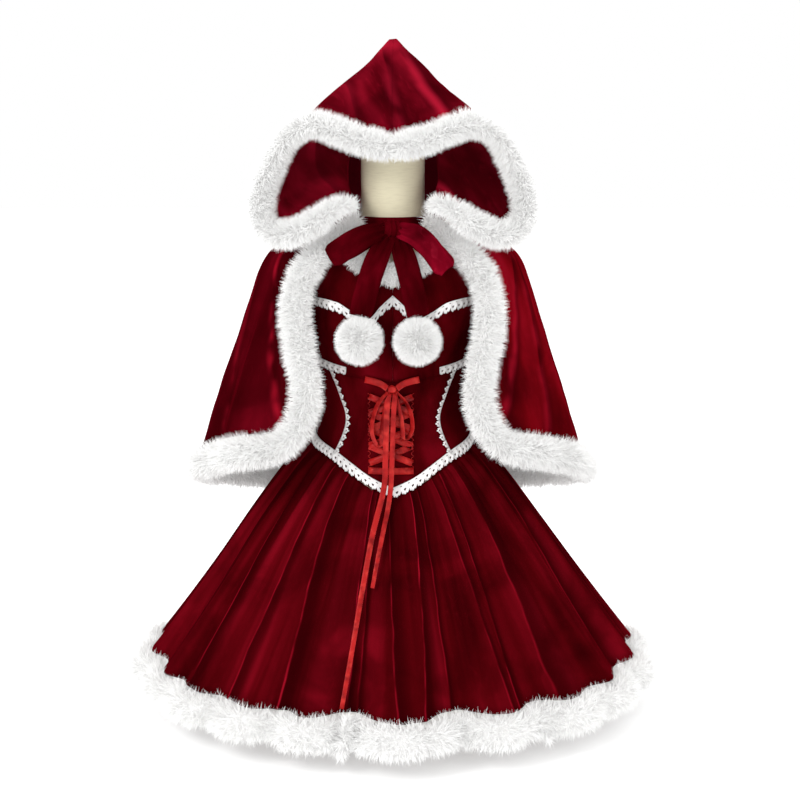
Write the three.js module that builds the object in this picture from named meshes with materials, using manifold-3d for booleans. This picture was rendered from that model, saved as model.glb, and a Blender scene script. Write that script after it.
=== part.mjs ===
// A hooded velvet cape with fur trim over a gathered velvet dress, on a limbless dress form.
// Millimetres, +Z up, the front faces -Y. The origin is the centre of the form's flat underside.
import * as THREE from 'three';
import Module from 'manifold-3d';

const wasm = await Module();
wasm.setup();

// Driving dimensions
const SEAM = 0.3; // gap between pieces that are sewn together
const FORM_INSET = 1.5; // the form is this much smaller than the body line that the cloth is cut to
const FORM_CLEAR = 0.9; // space between that line and the bodice
const STRAP_LIFT = 0.9; // the straps rest on the form's shoulders
const VELVET = 2; // wall of one layer of velvet with its facing
const CAPE_VELVET = 3; // the cape and hood are velvet on both sides
const LACE = 1;
const LACE_LIFT = 1.1; // between a panel and the lace or tape on it
const SATIN = 0.8;
const SATIN_WIDTH = 10.5;
const TIE_THICK = 2.4;
const SKIRT_COLUMNS = 120;
const SKIRT_GATHERS = 40;
const GATHER_DEPTH = 3.4;
const HEM = { half: 392, front: 312, back: 318, z: 86 };
const NECK_SEAM = { half: 72, front: 66, back: 72, z: 792 };
const CAPE_HEM = { middle: 412, swing: 80 };
const CAPE_COLUMNS = 44;
const HOOD_TIP = new THREE.Vector3(0, 40, 1057);
const HOOD_COLUMNS_PER_ROW = 2;
const HOOD_ROWS = 6;
const POMPOM = { core: 25, tip: 37 };

// The form's level sections: half width, depth to the front and depth to the back
const BODY = [
  { z: 0, half: 150, front: 100, back: 104 },
  { z: 70, half: 157, front: 106, back: 112 },
  { z: 190, half: 165, front: 112, back: 122 },
  { z: 290, half: 163, front: 112, back: 122 },
  { z: 370, half: 146, front: 102, back: 106 },
  { z: 430, half: 127, front: 93, back: 90 },
  { z: 480, half: 116, front: 88, back: 80 },
  { z: 525, half: 120, front: 92, back: 84 },
  { z: 570, half: 128, front: 100, back: 92 },
  { z: 620, half: 136, front: 108, back: 98 },
  { z: 665, half: 144, front: 108, back: 102 },
  { z: 700, half: 155, front: 98, back: 102 },
  { z: 720, half: 163, front: 88, back: 98 },
  { z: 736, half: 158, front: 76, back: 86 },
  { z: 748, half: 136, front: 66, back: 76 },
  { z: 759, half: 106, front: 59, back: 67 },
  { z: 769, half: 78, front: 54, back: 60 },
  { z: 780, half: 58, front: 51, back: 54 },
  { z: 795, half: 51, front: 49, back: 51 },
  { z: 850, half: 50, front: 49, back: 50 },
  { z: 888, half: 51, front: 50, back: 51 },
  { z: 899, half: 46, front: 45, back: 46 },
  { z: 904, half: 30, front: 29, back: 30 },
];
const BUST = { depth: 27, angle: 31, spread: 19, z: 640, below: 44, above: 58 };
const FORM_BUST = 0.8; // the form is a little flatter there than the cups

// Heights of the seams round the bodice, by angle from the front
const WAIST_LINE = [
  { angle: 0, z: 361 },
  { angle: 12, z: 374 },
  { angle: 30, z: 398 },
  { angle: 45, z: 413 },
  { angle: 68, z: 425 },
  { angle: 90, z: 437 },
  { angle: 130, z: 441 },
  { angle: 180, z: 441 },
];
const UNDERBUST_LINE = [
  { angle: 0, z: 542 },
  { angle: 45, z: 556 },
  { angle: 60, z: 561 },
  { angle: 90, z: 563 },
];
const CUP_LINE = [
  { angle: 0, z: 674 },
  { angle: 7, z: 660 },
  { angle: 16, z: 641 },
  { angle: 24, z: 650 },
  { angle: 34, z: 664 },
  { angle: 55, z: 668 },
  { angle: 90, z: 664 },
];
const NECKLINE = [
  { angle: 0, z: 688 },
  { angle: 10, z: 703 },
  { angle: 24, z: 731 },
  { angle: 31, z: 744 },
  { angle: 47, z: 744 },
  { angle: 60, z: 722 },
  { angle: 75, z: 700 },
  { angle: 90, z: 690 },
];
const BACK_TOP_LINE = [
  { angle: 90, z: 690 },
  { angle: 112, z: 702 },
  { angle: 133, z: 734 },
  { angle: 152, z: 734 },
  { angle: 166, z: 714 },
  { angle: 180, z: 704 },
];
// Angle of the seam beside the centre panel, by height
const PRINCESS_LINE = [
  { z: 395, angle: 46 },
  { z: 413, angle: 43.5 },
  { z: 450, angle: 37.5 },
  { z: 482, angle: 35 },
  { z: 520, angle: 40 },
  { z: 570, angle: 48.5 },
];

// Troughs between the large folds of the skirt, by angle from the front
const SKIRT_FOLDS = [
  { angle: -171, depth: 26, width: 6 },
  { angle: -151, depth: 32, width: 7 },
  { angle: -131, depth: 24, width: 6 },
  { angle: -110, depth: 30, width: 7 },
  { angle: -92, depth: 22, width: 6 },
  { angle: -73, depth: 26, width: 6 },
  { angle: -57, depth: 18, width: 5 },
  { angle: -42, depth: 24, width: 5 },
  { angle: -26, depth: 24, width: 5 },
  { angle: -10, depth: 38, width: 5.5 },
  { angle: 15, depth: 38, width: 6 },
  { angle: 34, depth: 30, width: 5.5 },
  { angle: 51, depth: 20, width: 5 },
  { angle: 68, depth: 26, width: 6 },
  { angle: 87, depth: 22, width: 6 },
  { angle: 107, depth: 30, width: 7 },
  { angle: 128, depth: 24, width: 6 },
  { angle: 149, depth: 32, width: 7 },
];
const SKIRT_ROWS = [0, 0.05, 0.16, 0.36, 0.6, 0.82, 1];

// Level sections of the cape, by the share of its drop from neck to hem; "open" is the distance of
// the velvet's front edge from the middle
const CAPE = [
  { drop: 0, half: 72, front: 66, back: 72, open: 60 },
  { drop: 0.05, half: 118, front: 88, back: 95, open: 82 },
  { drop: 0.1, half: 164, front: 106, back: 114, open: 112 },
  { drop: 0.17, half: 197, front: 122, back: 132, open: 138 },
  { drop: 0.28, half: 214, front: 134, back: 148, open: 160 },
  { drop: 0.46, half: 236, front: 146, back: 170, open: 168 },
  { drop: 0.66, half: 262, front: 156, back: 194, open: 160 },
  { drop: 0.86, half: 286, front: 164, back: 218, open: 146 },
  { drop: 1, half: 302, front: 170, back: 234, open: 172 },
];
// Soft folds of the cape, by angle from the front
const CAPE_FOLDS = [
  { angle: -158, depth: 13, width: 10 },
  { angle: -128, depth: 16, width: 11 },
  { angle: -97, depth: 12, width: 9 },
  { angle: -66, depth: 13, width: 8 },
  { angle: 58, depth: 12, width: 8 },
  { angle: 80, depth: 10, width: 8 },
  { angle: 104, depth: 14, width: 10 },
  { angle: 137, depth: 16, width: 11 },
  { angle: 171, depth: 14, width: 10 },
];

// Right half of the hood's trim, from the crown to the neck: its centre line, and the point (bow...)
// that the velvet between it and the tip bellies towards
const HOOD_FRONT = [
  { x: 0, y: -122, z: 902, bowX: 0, bowY: -42, bowZ: 990 },
  { x: 56, y: -118, z: 911, bowX: 32, bowY: -38, bowZ: 992 },
  { x: 106, y: -106, z: 925, bowX: 62, bowY: -26, bowZ: 1002 },
  { x: 138, y: -94, z: 925, bowX: 78, bowY: -14, bowZ: 990 },
  { x: 169, y: -82, z: 902, bowX: 92, bowY: 2, bowZ: 968 },
  { x: 187, y: -76, z: 869, bowX: 106, bowY: 18, bowZ: 948 },
  { x: 198, y: -78, z: 832, bowX: 116, bowY: 34, bowZ: 930 },
  { x: 198, y: -90, z: 795, bowX: 122, bowY: 46, bowZ: 912 },
  { x: 176, y: -108, z: 776, bowX: 122, bowY: 54, bowZ: 900 },
  { x: 134, y: -122, z: 795, bowX: 114, bowY: 60, bowZ: 890 },
  { x: 96, y: -124, z: 815, bowX: 106, bowY: 64, bowZ: 886 },
  { x: 70, y: -108, z: 826, bowX: 98, bowY: 68, bowZ: 886 },
];
// The hood's neck seam, by angle from the front, with the same bow points
const HOOD_NECK = [
  { angle: 84, bowX: 90, bowY: 76, bowZ: 890 },
  { angle: 108, bowX: 78, bowY: 90, bowZ: 896 },
  { angle: 132, bowX: 58, bowY: 106, bowZ: 906 },
  { angle: 156, bowX: 32, bowY: 118, bowZ: 916 },
  { angle: 180, bowX: 0, bowY: 124, bowZ: 922 },
];

const FUR = {
  hood: { half: 23, thick: 19, sides: 6, gap: 1.2 },
  cape: { half: 29, thick: 20, sides: 6, gap: 1.3 },
  skirt: { half: 30, thick: 23, sides: 6, gap: 0.8 },
  neck: { half: 19, thick: 8, sides: 6 },
};

// Finishes
const finish = (color, roughness) => new THREE.MeshStandardMaterial({ color, roughness, metalness: 0 });
const velvet = finish(0x6e0514, 0.75);
const velvetLight = finish(0x8a0a1e, 0.7);
const fur = finish(0xf4f5f6, 0.95);
const laceThread = finish(0xf7f4f0, 0.85);
const satin = finish(0xd42323, 0.4);
const linen = finish(0xdcd7b9, 0.9);

const model = new THREE.Group();

// Small mathematics
const rad = (degrees) => (degrees * Math.PI) / 180;
const deg = (radians) => (radians * 180) / Math.PI;
const mix = (a, b, t) => a + (b - a) * t;
const clamp = (x, low, high) => Math.min(Math.max(x, low), high);
const vec = (x, y, z) => new THREE.Vector3(x, y, z);
const steps = (count) => Array.from({ length: count + 1 }, (_, i) => i / count);

// A smooth curve through one column of a table, read at a value of another column
function through(rows, by, column) {
  const at = rows.map((row) => row[by]);
  const value = rows.map((row) => row[column]);
  const last = rows.length - 1;
  const slope = at.map((_, i) => {
    const before = Math.max(i - 1, 0);
    const after = Math.min(i + 1, last);
    const turns = (value[i] - value[before]) * (value[after] - value[i]) <= 0 && after - before > 1;
    return turns ? 0 : (value[after] - value[before]) / (at[after] - at[before]);
  });
  return (x) => {
    let i = 0;
    while (i < last - 1 && x > at[i + 1]) i += 1;
    const width = at[i + 1] - at[i];
    const t = clamp((x - at[i]) / width, 0, 1);
    const t2 = t * t;
    const t3 = t2 * t;
    return (
      (2 * t3 - 3 * t2 + 1) * value[i] +
      (t3 - 2 * t2 + t) * width * slope[i] +
      (3 * t2 - 2 * t3) * value[i + 1] +
      (t3 - t2) * width * slope[i + 1]
    );
  };
}

// Closed meshes
function addSolid(name, points, faces, material) {
  const keys = new Map();
  const kept = [];
  const index = points.map((p) => {
    const key = [p.x, p.y, p.z].map((c) => Math.round(c * 1000)).join();
    if (!keys.has(key)) {
      keys.set(key, kept.length);
      kept.push(p);
    }
    return keys.get(key);
  });
  let triangles = faces
    .map((face) => face.map((i) => index[i]))
    .filter(([a, b, c]) => a !== b && b !== c && c !== a);
  const volume = triangles.reduce(
    (sum, [a, b, c]) => sum + kept[a].dot(vec(0, 0, 0).crossVectors(kept[b], kept[c])),
    0,
  );
  if (volume < 0) triangles = triangles.map(([a, b, c]) => [a, c, b]);
  const geometry = new THREE.BufferGeometry();
  const position = new Float32Array(kept.flatMap((p) => [p.x, p.y, p.z]));
  geometry.setAttribute('position', new THREE.BufferAttribute(position, 3));
  geometry.setIndex(triangles.flat());
  geometry.computeVertexNormals();
  const mesh = new THREE.Mesh(geometry, material);
  mesh.name = name;
  model.add(mesh);
  return mesh;
}

// Two triangles between the corners of a quad
const quad = (a, b, c, d) => [[a, b, c], [a, c, d]];

// A wall between two grids of points, [row][column], closed round its columns or with side edges
function addWall(name, outer, inner, closed, material) {
  const rows = outer.length;
  const columns = outer[0].length;
  const points = [...outer.flat(), ...inner.flat()];
  const out = (r, c) => r * columns + (c % columns);
  const inn = (r, c) => rows * columns + out(r, c);
  const spans = closed ? columns : columns - 1;
  const faces = [];
  for (let r = 0; r < rows - 1; r += 1) {
    for (let c = 0; c < spans; c += 1) {
      faces.push(...quad(out(r, c), out(r, c + 1), out(r + 1, c + 1), out(r + 1, c)));
      faces.push(...quad(inn(r, c), inn(r + 1, c), inn(r + 1, c + 1), inn(r, c + 1)));
    }
    if (!closed) {
      faces.push(...quad(out(r, 0), out(r + 1, 0), inn(r + 1, 0), inn(r, 0)));
      const c = columns - 1;
      faces.push(...quad(out(r, c), inn(r, c), inn(r + 1, c), out(r + 1, c)));
    }
  }
  for (let c = 0; c < spans; c += 1) {
    const r = rows - 1;
    faces.push(...quad(out(0, c), inn(0, c), inn(0, c + 1), out(0, c + 1)));
    faces.push(...quad(out(r, c), out(r, c + 1), inn(r, c + 1), inn(r, c)));
  }
  return addSolid(name, points, faces, material);
}

// Rings joined into a tube, with a fan over each end unless the tube closes on itself
function addRings(name, rings, loop, material) {
  const sides = rings[0].length;
  const points = rings.flat();
  const at = (r, c) => (r % rings.length) * sides + (c % sides);
  const faces = [];
  const spans = loop ? rings.length : rings.length - 1;
  for (let r = 0; r < spans; r += 1) {
    for (let c = 0; c < sides; c += 1) {
      faces.push(...quad(at(r, c), at(r, c + 1), at(r + 1, c + 1), at(r + 1, c)));
    }
  }
  if (!loop) {
    [0, rings.length - 1].forEach((r) => {
      const middle = rings[r].reduce((sum, p) => sum.add(p), vec(0, 0, 0)).divideScalar(sides);
      points.push(middle);
      for (let c = 0; c < sides; c += 1) {
        const face = [points.length - 1, at(r, c + 1), at(r, c)];
        faces.push(r === 0 ? face : [face[0], face[2], face[1]]);
      }
    });
  }
  return addSolid(name, points, faces, material);
}

// The direction square to a grid at each point. All of them are on one side of it, the side that most
// of them have away from "inside"
function gridNormals(grid, closed, inside) {
  const columns = grid[0].length;
  const normals = grid.map((row, r) =>
    row.map((p, c) => {
      const before = closed ? (c + columns - 1) % columns : Math.max(c - 1, 0);
      const after = closed ? (c + 1) % columns : Math.min(c + 1, columns - 1);
      const above = grid[Math.max(r - 1, 0)][c];
      const below = grid[Math.min(r + 1, grid.length - 1)][c];
      const across = row[after].clone().sub(row[before]);
      return across.cross(below.clone().sub(above)).normalize();
    }),
  );
  const outward = (p, r, c) => Math.sign(normals[r][c].dot(p.clone().sub(inside(p))));
  const share = grid.flatMap((row, r) => row.map((p, c) => outward(p, r, c))).reduce((sum, x) => sum + x, 0);
  return share < 0 ? normals.map((row) => row.map((normal) => normal.negate())) : normals;
}

const shifted = (grid, normals, distance) =>
  grid.map((row, r) => row.map((p, c) => p.clone().addScaledVector(normals[r][c], distance)));

// Columns first..last of a grid, with the first and last drawn in by half a seam gap
function seamed(grid, first, last) {
  return grid.map((row) => {
    const part = row.slice(first, last + 1).map((p) => p.clone());
    const draw = (edge, next) => {
      const inward = next.clone().sub(edge).setZ(0).normalize();
      edge.addScaledVector(inward, SEAM / 2);
    };
    draw(part[0], part[1]);
    draw(part[part.length - 1], part[part.length - 2]);
    return part;
  });
}

// A trim of round section that starts just past the edge of a wall. "edge" is a list of points on the
// edge, each with the wall's normal and the direction away from the wall
function addTrim(name, edge, size, loop, material) {
  const reach = size.half * Math.cos(Math.PI / size.sides);
  const rings = edge.map(({ point, normal, away, scale = 1 }) => {
    const centre = point.clone().addScaledVector(away, reach * scale + size.gap);
    return Array.from({ length: size.sides }, (_, i) => {
      const turn = Math.PI + (2 * Math.PI * (i + 0.5)) / size.sides;
      return centre
        .clone()
        .addScaledVector(away, Math.cos(turn) * size.half * scale)
        .addScaledVector(normal, Math.sin(turn) * size.thick * scale);
    });
  });
  return addRings(name, rings, loop, material);
}

// Edge points of a trim along a line: the direction away is square to the line, in the wall. All the
// sections turn the same way round the line, so that the trim doesn't twist
function edgeAlong(line, normals, outwards, loop) {
  return line.map((point, i) => {
    const count = line.length;
    const before = line[loop ? (i + count - 1) % count : Math.max(i - 1, 0)];
    const after = line[loop ? (i + 1) % count : Math.min(i + 1, count - 1)];
    const along = after.clone().sub(before).normalize();
    const away = along.clone().cross(normals[i]).normalize();
    if (away.dot(outwards[i]) < 0) away.negate();
    return { point, normal: away.clone().cross(along).normalize(), away };
  });
}

// A flat ribbon along points, each with the direction across it and its width
function ribbonRings(path, thick, loop) {
  return path.map(({ point, across, width }, i) => {
    const count = path.length;
    const before = path[loop ? (i + count - 1) % count : Math.max(i - 1, 0)].point;
    const after = path[loop ? (i + 1) % count : Math.min(i + 1, count - 1)].point;
    const along = after.clone().sub(before).normalize();
    const side = across.clone().addScaledVector(along, -across.dot(along)).normalize();
    const face = along.clone().cross(side).normalize();
    return [[-1, -1], [1, -1], [1, 1], [-1, 1]].map(([s, f]) =>
      point.clone().addScaledVector(side, (s * width) / 2).addScaledVector(face, (f * thick) / 2),
    );
  });
}

const addRibbon = (name, path, thick, loop, material) =>
  addRings(name, ribbonRings(path, thick, loop), loop, material);

// The form's surface
const bodyHalf = through(BODY, 'z', 'half');
const bodyFront = through(BODY, 'z', 'front');
const bodyBack = through(BODY, 'z', 'back');
const bell = (x) => Math.exp(-x * x);

// An angle from -180 to 180
const wrapped = (angle) => ((angle + 540) % 360) - 180;

function bodyPoint(angle, z, fullness = 1) {
  const turn = rad(angle);
  const depth = Math.cos(turn) > 0 ? bodyFront(z) : bodyBack(z);
  const rise = z > BUST.z ? BUST.above : BUST.below;
  const cup = BUST.depth * bell((Math.abs(wrapped(angle)) - BUST.angle) / BUST.spread) * bell((z - BUST.z) / rise);
  return vec(bodyHalf(z) * Math.sin(turn), -depth * Math.cos(turn) - cup * fullness, z);
}

function bodyNormal(angle, z) {
  const across = bodyPoint(angle + 0.5, z).sub(bodyPoint(angle - 0.5, z));
  const up = bodyPoint(angle, z + 0.5).sub(bodyPoint(angle, z - 0.5));
  return across.cross(up).normalize();
}

const onBody = (angle, z, distance) => bodyPoint(angle, z).addScaledVector(bodyNormal(angle, z), distance);

function buildForm() {
  const columns = 32;
  const levels = [0, 70, 190, 290, 340, 380, 415, 445, 470, 495, 520, 550, 585, 620, 655, 690];
  levels.push(712, 728, 740, 750, 760, 770, 782, 797, 888, 899, 904);
  const rings = levels.map((z) =>
    Array.from({ length: columns }, (_, c) => {
      const angle = (360 * c) / columns - 180;
      const inward = bodyNormal(angle, z).setZ(0).multiplyScalar(-FORM_INSET);
      return bodyPoint(angle, z, FORM_BUST).add(inward);
    }),
  );
  addRings('dress_form', rings, false, linen);
}

// Seam heights and the panels between them
const byAngle = (rows) => {
  const height = through(rows, 'angle', 'z');
  return (angle) => height(Math.abs(wrapped(angle)));
};
const waistHeight = byAngle(WAIST_LINE);
const underbustHeight = byAngle(UNDERBUST_LINE);
const cupHeight = byAngle(CUP_LINE);
const necklineHeight = byAngle(NECKLINE);
const backTopHeight = byAngle(BACK_TOP_LINE);
const princessAngle = through(PRINCESS_LINE, 'z', 'angle');
const BODICE_OUT = FORM_CLEAR + VELVET;
const LACE_OUT = BODICE_OUT + LACE_LIFT + LACE;

// Grid of angle and height between two side curves and two level curves, half a seam inside them
function panelGrid({ left, right, bottom, top, columns, rows }) {
  return rows.map((v) =>
    columns.map((u) => {
      let z = mix(bottom(mix(left(500), right(500), u)), top(mix(left(500), right(500), u)), v);
      let angle = 0;
      for (let pass = 0; pass < 8; pass += 1) {
        const inset = deg(SEAM / 2 / bodyHalf(z));
        angle = mix(left(z) + inset, right(z) - inset, u);
        z = mix(bottom(angle) + SEAM / 2, top(angle) - SEAM / 2, v);
      }
      return { angle, z };
    }),
  );
}

function addPanel(name, shape, near = FORM_CLEAR, far = BODICE_OUT, material = velvet) {
  const grid = panelGrid(shape);
  const layer = (distance) => grid.map((row) => row.map(({ angle, z }) => onBody(angle, z, distance)));
  return addWall(name, layer(far), layer(near), false, material);
}

const always = (value) => () => value;

function buildBodice() {
  const half = { columns: steps(14), rows: steps(4) };
  const upright = { columns: steps(4), rows: steps(5) };
  [['left', -1], ['right', 1]].forEach(([side, sign]) => {
    const between = (low, high) => (sign > 0
      ? { left: low, right: high }
      : { left: (z) => -high(z), right: (z) => -low(z) });
    const front = between(always(0), always(90));
    addPanel(`cup_${side}`, { ...front, bottom: underbustHeight, top: cupHeight, ...half });
    const yoke = { bottom: cupHeight, top: necklineHeight, columns: half.columns, rows: [0, 0.35, 0.65, 0.86, 1] };
    addPanel(`yoke_${side}`, { ...front, ...yoke });
    const flank = between(princessAngle, always(90));
    addPanel(`side_panel_${side}`, { ...flank, bottom: waistHeight, top: underbustHeight, ...upright });
    const rear = between(always(90), always(180));
    const back = { columns: steps(8), rows: [0, 0.25, 0.5, 0.74, 0.87, 0.93, 0.97, 1] };
    addPanel(`back_${side}`, { ...rear, bottom: waistHeight, top: backTopHeight, ...back });
  });
  addPanel('centre_panel', {
    left: (z) => -princessAngle(z),
    right: princessAngle,
    bottom: waistHeight,
    top: underbustHeight,
    columns: steps(12),
    rows: steps(5),
  });
}

// A strap over the shoulder: each column keeps its distance from the middle
function buildStraps() {
  const edges = { inner: 75, outer: 97 };
  const ends = { front: 744.6, back: 734.6 };
  const acrossSteps = steps(2);
  const alongSteps = steps(10).map((t) => t * 2 - 1);
  const heightAt = through(
    BODY.filter((row) => row.z >= 720 && row.z <= 780).map(({ z, half }) => ({ z, far: -half })),
    'far',
    'z',
  );
  [['left', -1], ['right', 1]].forEach(([side, sign]) => {
    const layer = (distance) =>
      alongSteps.map((t) =>
        acrossSteps.map((u) => {
          const x = mix(edges.inner, edges.outer, u);
          const top = heightAt(-x);
          const end = t < 0 ? ends.front : ends.back;
          const z = mix(top, end, t * t);
          const lean = deg(Math.asin(clamp(x / bodyHalf(z), 0, 1)));
          const angle = sign * (t < 0 ? lean : 180 - lean);
          const up = vec(0, 0, 1).lerp(bodyNormal(angle, z), Math.abs(t)).normalize();
          return bodyPoint(angle, z).addScaledVector(up, distance);
        }),
      );
    addWall(`strap_${side}`, layer(STRAP_LIFT + VELVET), layer(STRAP_LIFT), false, velvet);
  });
}

// Lace lies on the bodice. Its lower edge is scalloped: every other column is longer
function addLace(name, line, drop) {
  const scallop = 3;
  const layer = (distance) =>
    [0, 1].map((row) =>
      line.map(({ angle, z, turn = 0 }, i) => {
        const reach = row * (drop - (i % 2) * scallop);
        const sideways = deg((reach * Math.sin(turn)) / bodyHalf(z));
        return onBody(angle + sideways, z - reach * Math.cos(turn), distance);
      }),
    );
  const near = BODICE_OUT + LACE_LIFT;
  return addWall(name, layer(near + LACE), layer(near), false, laceThread);
}

function buildLace() {
  const across = (from, to, count, height) =>
    steps(count).map((t) => {
      const angle = mix(from, to, t);
      return { angle, z: height(angle) };
    });
  addLace('lace_cups', across(-88, 88, 36, (angle) => cupHeight(angle) + 4), 15);
  addLace('lace_waist', across(-88, 88, 36, (angle) => waistHeight(angle) + 15.5), 15);
  [['left', -1], ['right', 1]].forEach(([side, sign]) => {
    const under = across(sign * 88, sign * 35, 12, (angle) => underbustHeight(angle) + 14);
    addLace(`lace_underbust_${side}`, sign > 0 ? under.reverse() : under, 14);
    const line = steps(12).map((t) => {
      const z = mix(434, 553, t);
      return { angle: sign * (princessAngle(z) + 2.6), z, turn: (-sign * Math.PI) / 2 };
    });
    addLace(`lace_princess_${side}`, line, 9);
  });
}

// Points on the front of the body by their distance from the middle
const frontPoint = (x, z, distance) => onBody(deg(Math.asin(clamp(x / bodyHalf(z), -1, 1))), z, distance);

// A straight ribbon on the centre panel, from one point to another
function panelRibbon(from, to, distance, width, count) {
  const at = (t) => frontPoint(mix(from.x, to.x, t), mix(from.z, to.z, t), distance);
  const below = (t) => frontPoint(mix(from.x, to.x, t), mix(from.z, to.z, t), distance - 1);
  return steps(count).map((t) => {
    const normal = at(t).sub(below(t));
    const along = at(Math.min(t + 0.1, 1)).sub(at(Math.max(t - 0.1, 0)));
    return { point: at(t), across: normal.cross(along).normalize(), width };
  });
}

function manifoldOf(rings) {
  const sides = rings[0].length;
  const points = rings.flat();
  const at = (r, c) => r * sides + (c % sides);
  const faces = [];
  for (let r = 0; r < rings.length - 1; r += 1) {
    for (let c = 0; c < sides; c += 1) {
      faces.push(...quad(at(r, c), at(r + 1, c), at(r + 1, c + 1), at(r, c + 1)));
    }
  }
  const end = rings.length - 1;
  faces.push(...quad(at(0, 0), at(0, 1), at(0, 2), at(0, 3)));
  faces.push(...quad(at(end, 0), at(end, 3), at(end, 2), at(end, 1)));
  const signed = faces.reduce(
    (sum, [a, b, c]) => sum + points[a].dot(vec(0, 0, 0).crossVectors(points[b], points[c])),
    0,
  );
  const turned = signed < 0 ? faces.map(([a, b, c]) => [a, c, b]) : faces;
  return new wasm.Manifold(new wasm.Mesh({
    numProp: 3,
    vertProperties: new Float32Array(points.flatMap((p) => [p.x, p.y, p.z])),
    triVerts: new Uint32Array(turned.flat()),
  }));
}

function addJoined(name, parts, material) {
  const joined = parts.reduce((sum, part) => sum.add(part));
  const mesh = joined.getMesh();
  const points = [];
  for (let i = 0; i < mesh.vertProperties.length; i += mesh.numProp) {
    points.push(vec(mesh.vertProperties[i], mesh.vertProperties[i + 1], mesh.vertProperties[i + 2]));
  }
  const faces = [];
  for (let i = 0; i < mesh.triVerts.length; i += 3) {
    faces.push([mesh.triVerts[i], mesh.triVerts[i + 1], mesh.triVerts[i + 2]]);
  }
  return addSolid(name, points, faces, material);
}

// Criss-cross lacing on the centre panel
const LACING = { half: 32, top: 521, bottom: 415, rows: 4, bar: 403, middle: -3 };
const TAPE_OUT = BODICE_OUT + LACE_LIFT + SATIN;
const UNDER = TAPE_OUT + 2 * SEAM + SATIN / 2;
const OVER = UNDER + SATIN + 2 * SEAM;

function buildLacing() {
  const { half, top, bottom, rows, bar, middle } = LACING;
  const heights = steps(rows).map((t) => mix(top, bottom, t));
  [['under', 1, UNDER], ['over', -1, OVER]].forEach(([layer, start, distance]) => {
    const legs = heights.slice(0, -1).map((z, i) => {
      const sign = start * (i % 2 ? -1 : 1);
      const from = { x: middle - sign * half, z };
      const to = { x: middle + sign * half, z: heights[i + 1] };
      return manifoldOf(ribbonRings(panelRibbon(from, to, distance, SATIN_WIDTH, 3), SATIN));
    });
    addJoined(`lacing_${layer}`, legs, satin);
  });
  const barEnds = [{ x: middle - half - 2, z: bar }, { x: middle + half + 2, z: bar }];
  addRibbon('lacing_bar', panelRibbon(...barEnds, UNDER, SATIN_WIDTH, 4), SATIN, false, satin);
  [['left', -1], ['right', 1]].forEach(([side, sign]) => {
    const x = middle + sign * (half + 1);
    const path = panelRibbon({ x, z: top + 5 }, { x, z: bar - 5 }, BODICE_OUT + LACE_LIFT + SATIN / 2, 4, 5);
    addRibbon(`eyelet_tape_${side}`, path, SATIN, false, satin);
  });
}

// Satin bow above the lacing: knot, two short ends, two hanging loops and two long tails
const BOW = { x: -1, z: 537, lift: OVER + 2.8 };

function buildSatinBow() {
  const knotDistance = BOW.lift + 4;
  const knot = new THREE.SphereGeometry(1, 8, 6).toNonIndexed().getAttribute('position');
  const centre = frontPoint(BOW.x, BOW.z, knotDistance);
  const points = Array.from({ length: knot.count }, (_, i) =>
    vec(knot.getX(i) * 7, knot.getY(i) * 5, knot.getZ(i) * 6.5).add(centre),
  );
  const faces = steps(knot.count / 3 - 1).map((_, i) => [3 * i, 3 * i + 1, 3 * i + 2]);
  addSolid('satin_knot', points, faces, satin);
  [['left', -1], ['right', 1]].forEach(([side, sign]) => {
    const end = [
      { reach: 6.9, rise: 1, distance: knotDistance },
      { reach: 14, rise: 5, distance: mix(knotDistance, LACE_OUT, 0.6) },
      { reach: 26, rise: 9, distance: LACE_OUT + 1.3 + SATIN / 2 },
      { reach: 40, rise: 12, distance: LACE_OUT + 1.3 + SATIN / 2 },
    ].map(({ reach, rise, distance }) => ({
      point: frontPoint(BOW.x + sign * reach, BOW.z + rise, distance),
      across: vec(0, 0, 1),
      width: SATIN_WIDTH,
    }));
    addRibbon(`satin_end_${side}`, end, SATIN, false, satin);
    // The loop runs out and down along its outer leg and comes back up along its inner one
    const outline = [
      { x: 4.8, z: -4.3 },
      { x: 19, z: -24 },
      { x: 27, z: -48 },
      { x: 29, z: -72 },
      { x: 23, z: -92 },
      { x: 16, z: -93 },
      { x: 15, z: -78 },
      { x: 12, z: -50 },
      { x: 7, z: -26 },
    ];
    const shrink = sign > 0 ? 0.9 : 1;
    const loop = outline.map(({ x, z }, i) => ({
      point: frontPoint(BOW.x + sign * x, BOW.z + z * shrink, BOW.lift + 2 + (i > 4 ? 5 : 0)),
      across: vec(0.35 * sign, -0.9, 0.1),
      width: SATIN_WIDTH * 0.7,
    }));
    addRibbon(`satin_loop_${side}`, loop, SATIN, true, satin);
  });
}

// Gathered skirt
const foldAt = (folds, angle) =>
  folds.reduce((sum, { angle: at, depth, width }) => {
    const gap = ((angle - at + 540) % 360) - 180;
    return sum + depth * bell(gap / width);
  }, 0);

function skirtPoint(angle, t) {
  const turn = rad(angle);
  const waist = onBody(angle, waistHeight(angle) - 2 * SEAM, BODICE_OUT);
  const depth = Math.cos(turn) > 0 ? HEM.front : HEM.back;
  const hem = vec(HEM.half * Math.sin(turn), -depth * Math.cos(turn), HEM.z);
  const point = waist.clone().lerp(hem, t);
  const outward = vec(Math.sin(turn), -Math.cos(turn), 0);
  const puff = 10 * Math.sin(Math.PI * Math.min(t * 1.4, 1)) * (1 - t);
  const grip = Math.min(t / 0.05, 1);
  const gather = GATHER_DEPTH * grip * (1 - t) ** 1.6 * (1 + Math.cos(rad(angle * SKIRT_GATHERS)));
  const trough = foldAt(SKIRT_FOLDS, angle);
  const belly = 12 - trough;
  return point.addScaledVector(outward, puff + gather + belly * t ** 1.25);
}

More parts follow.
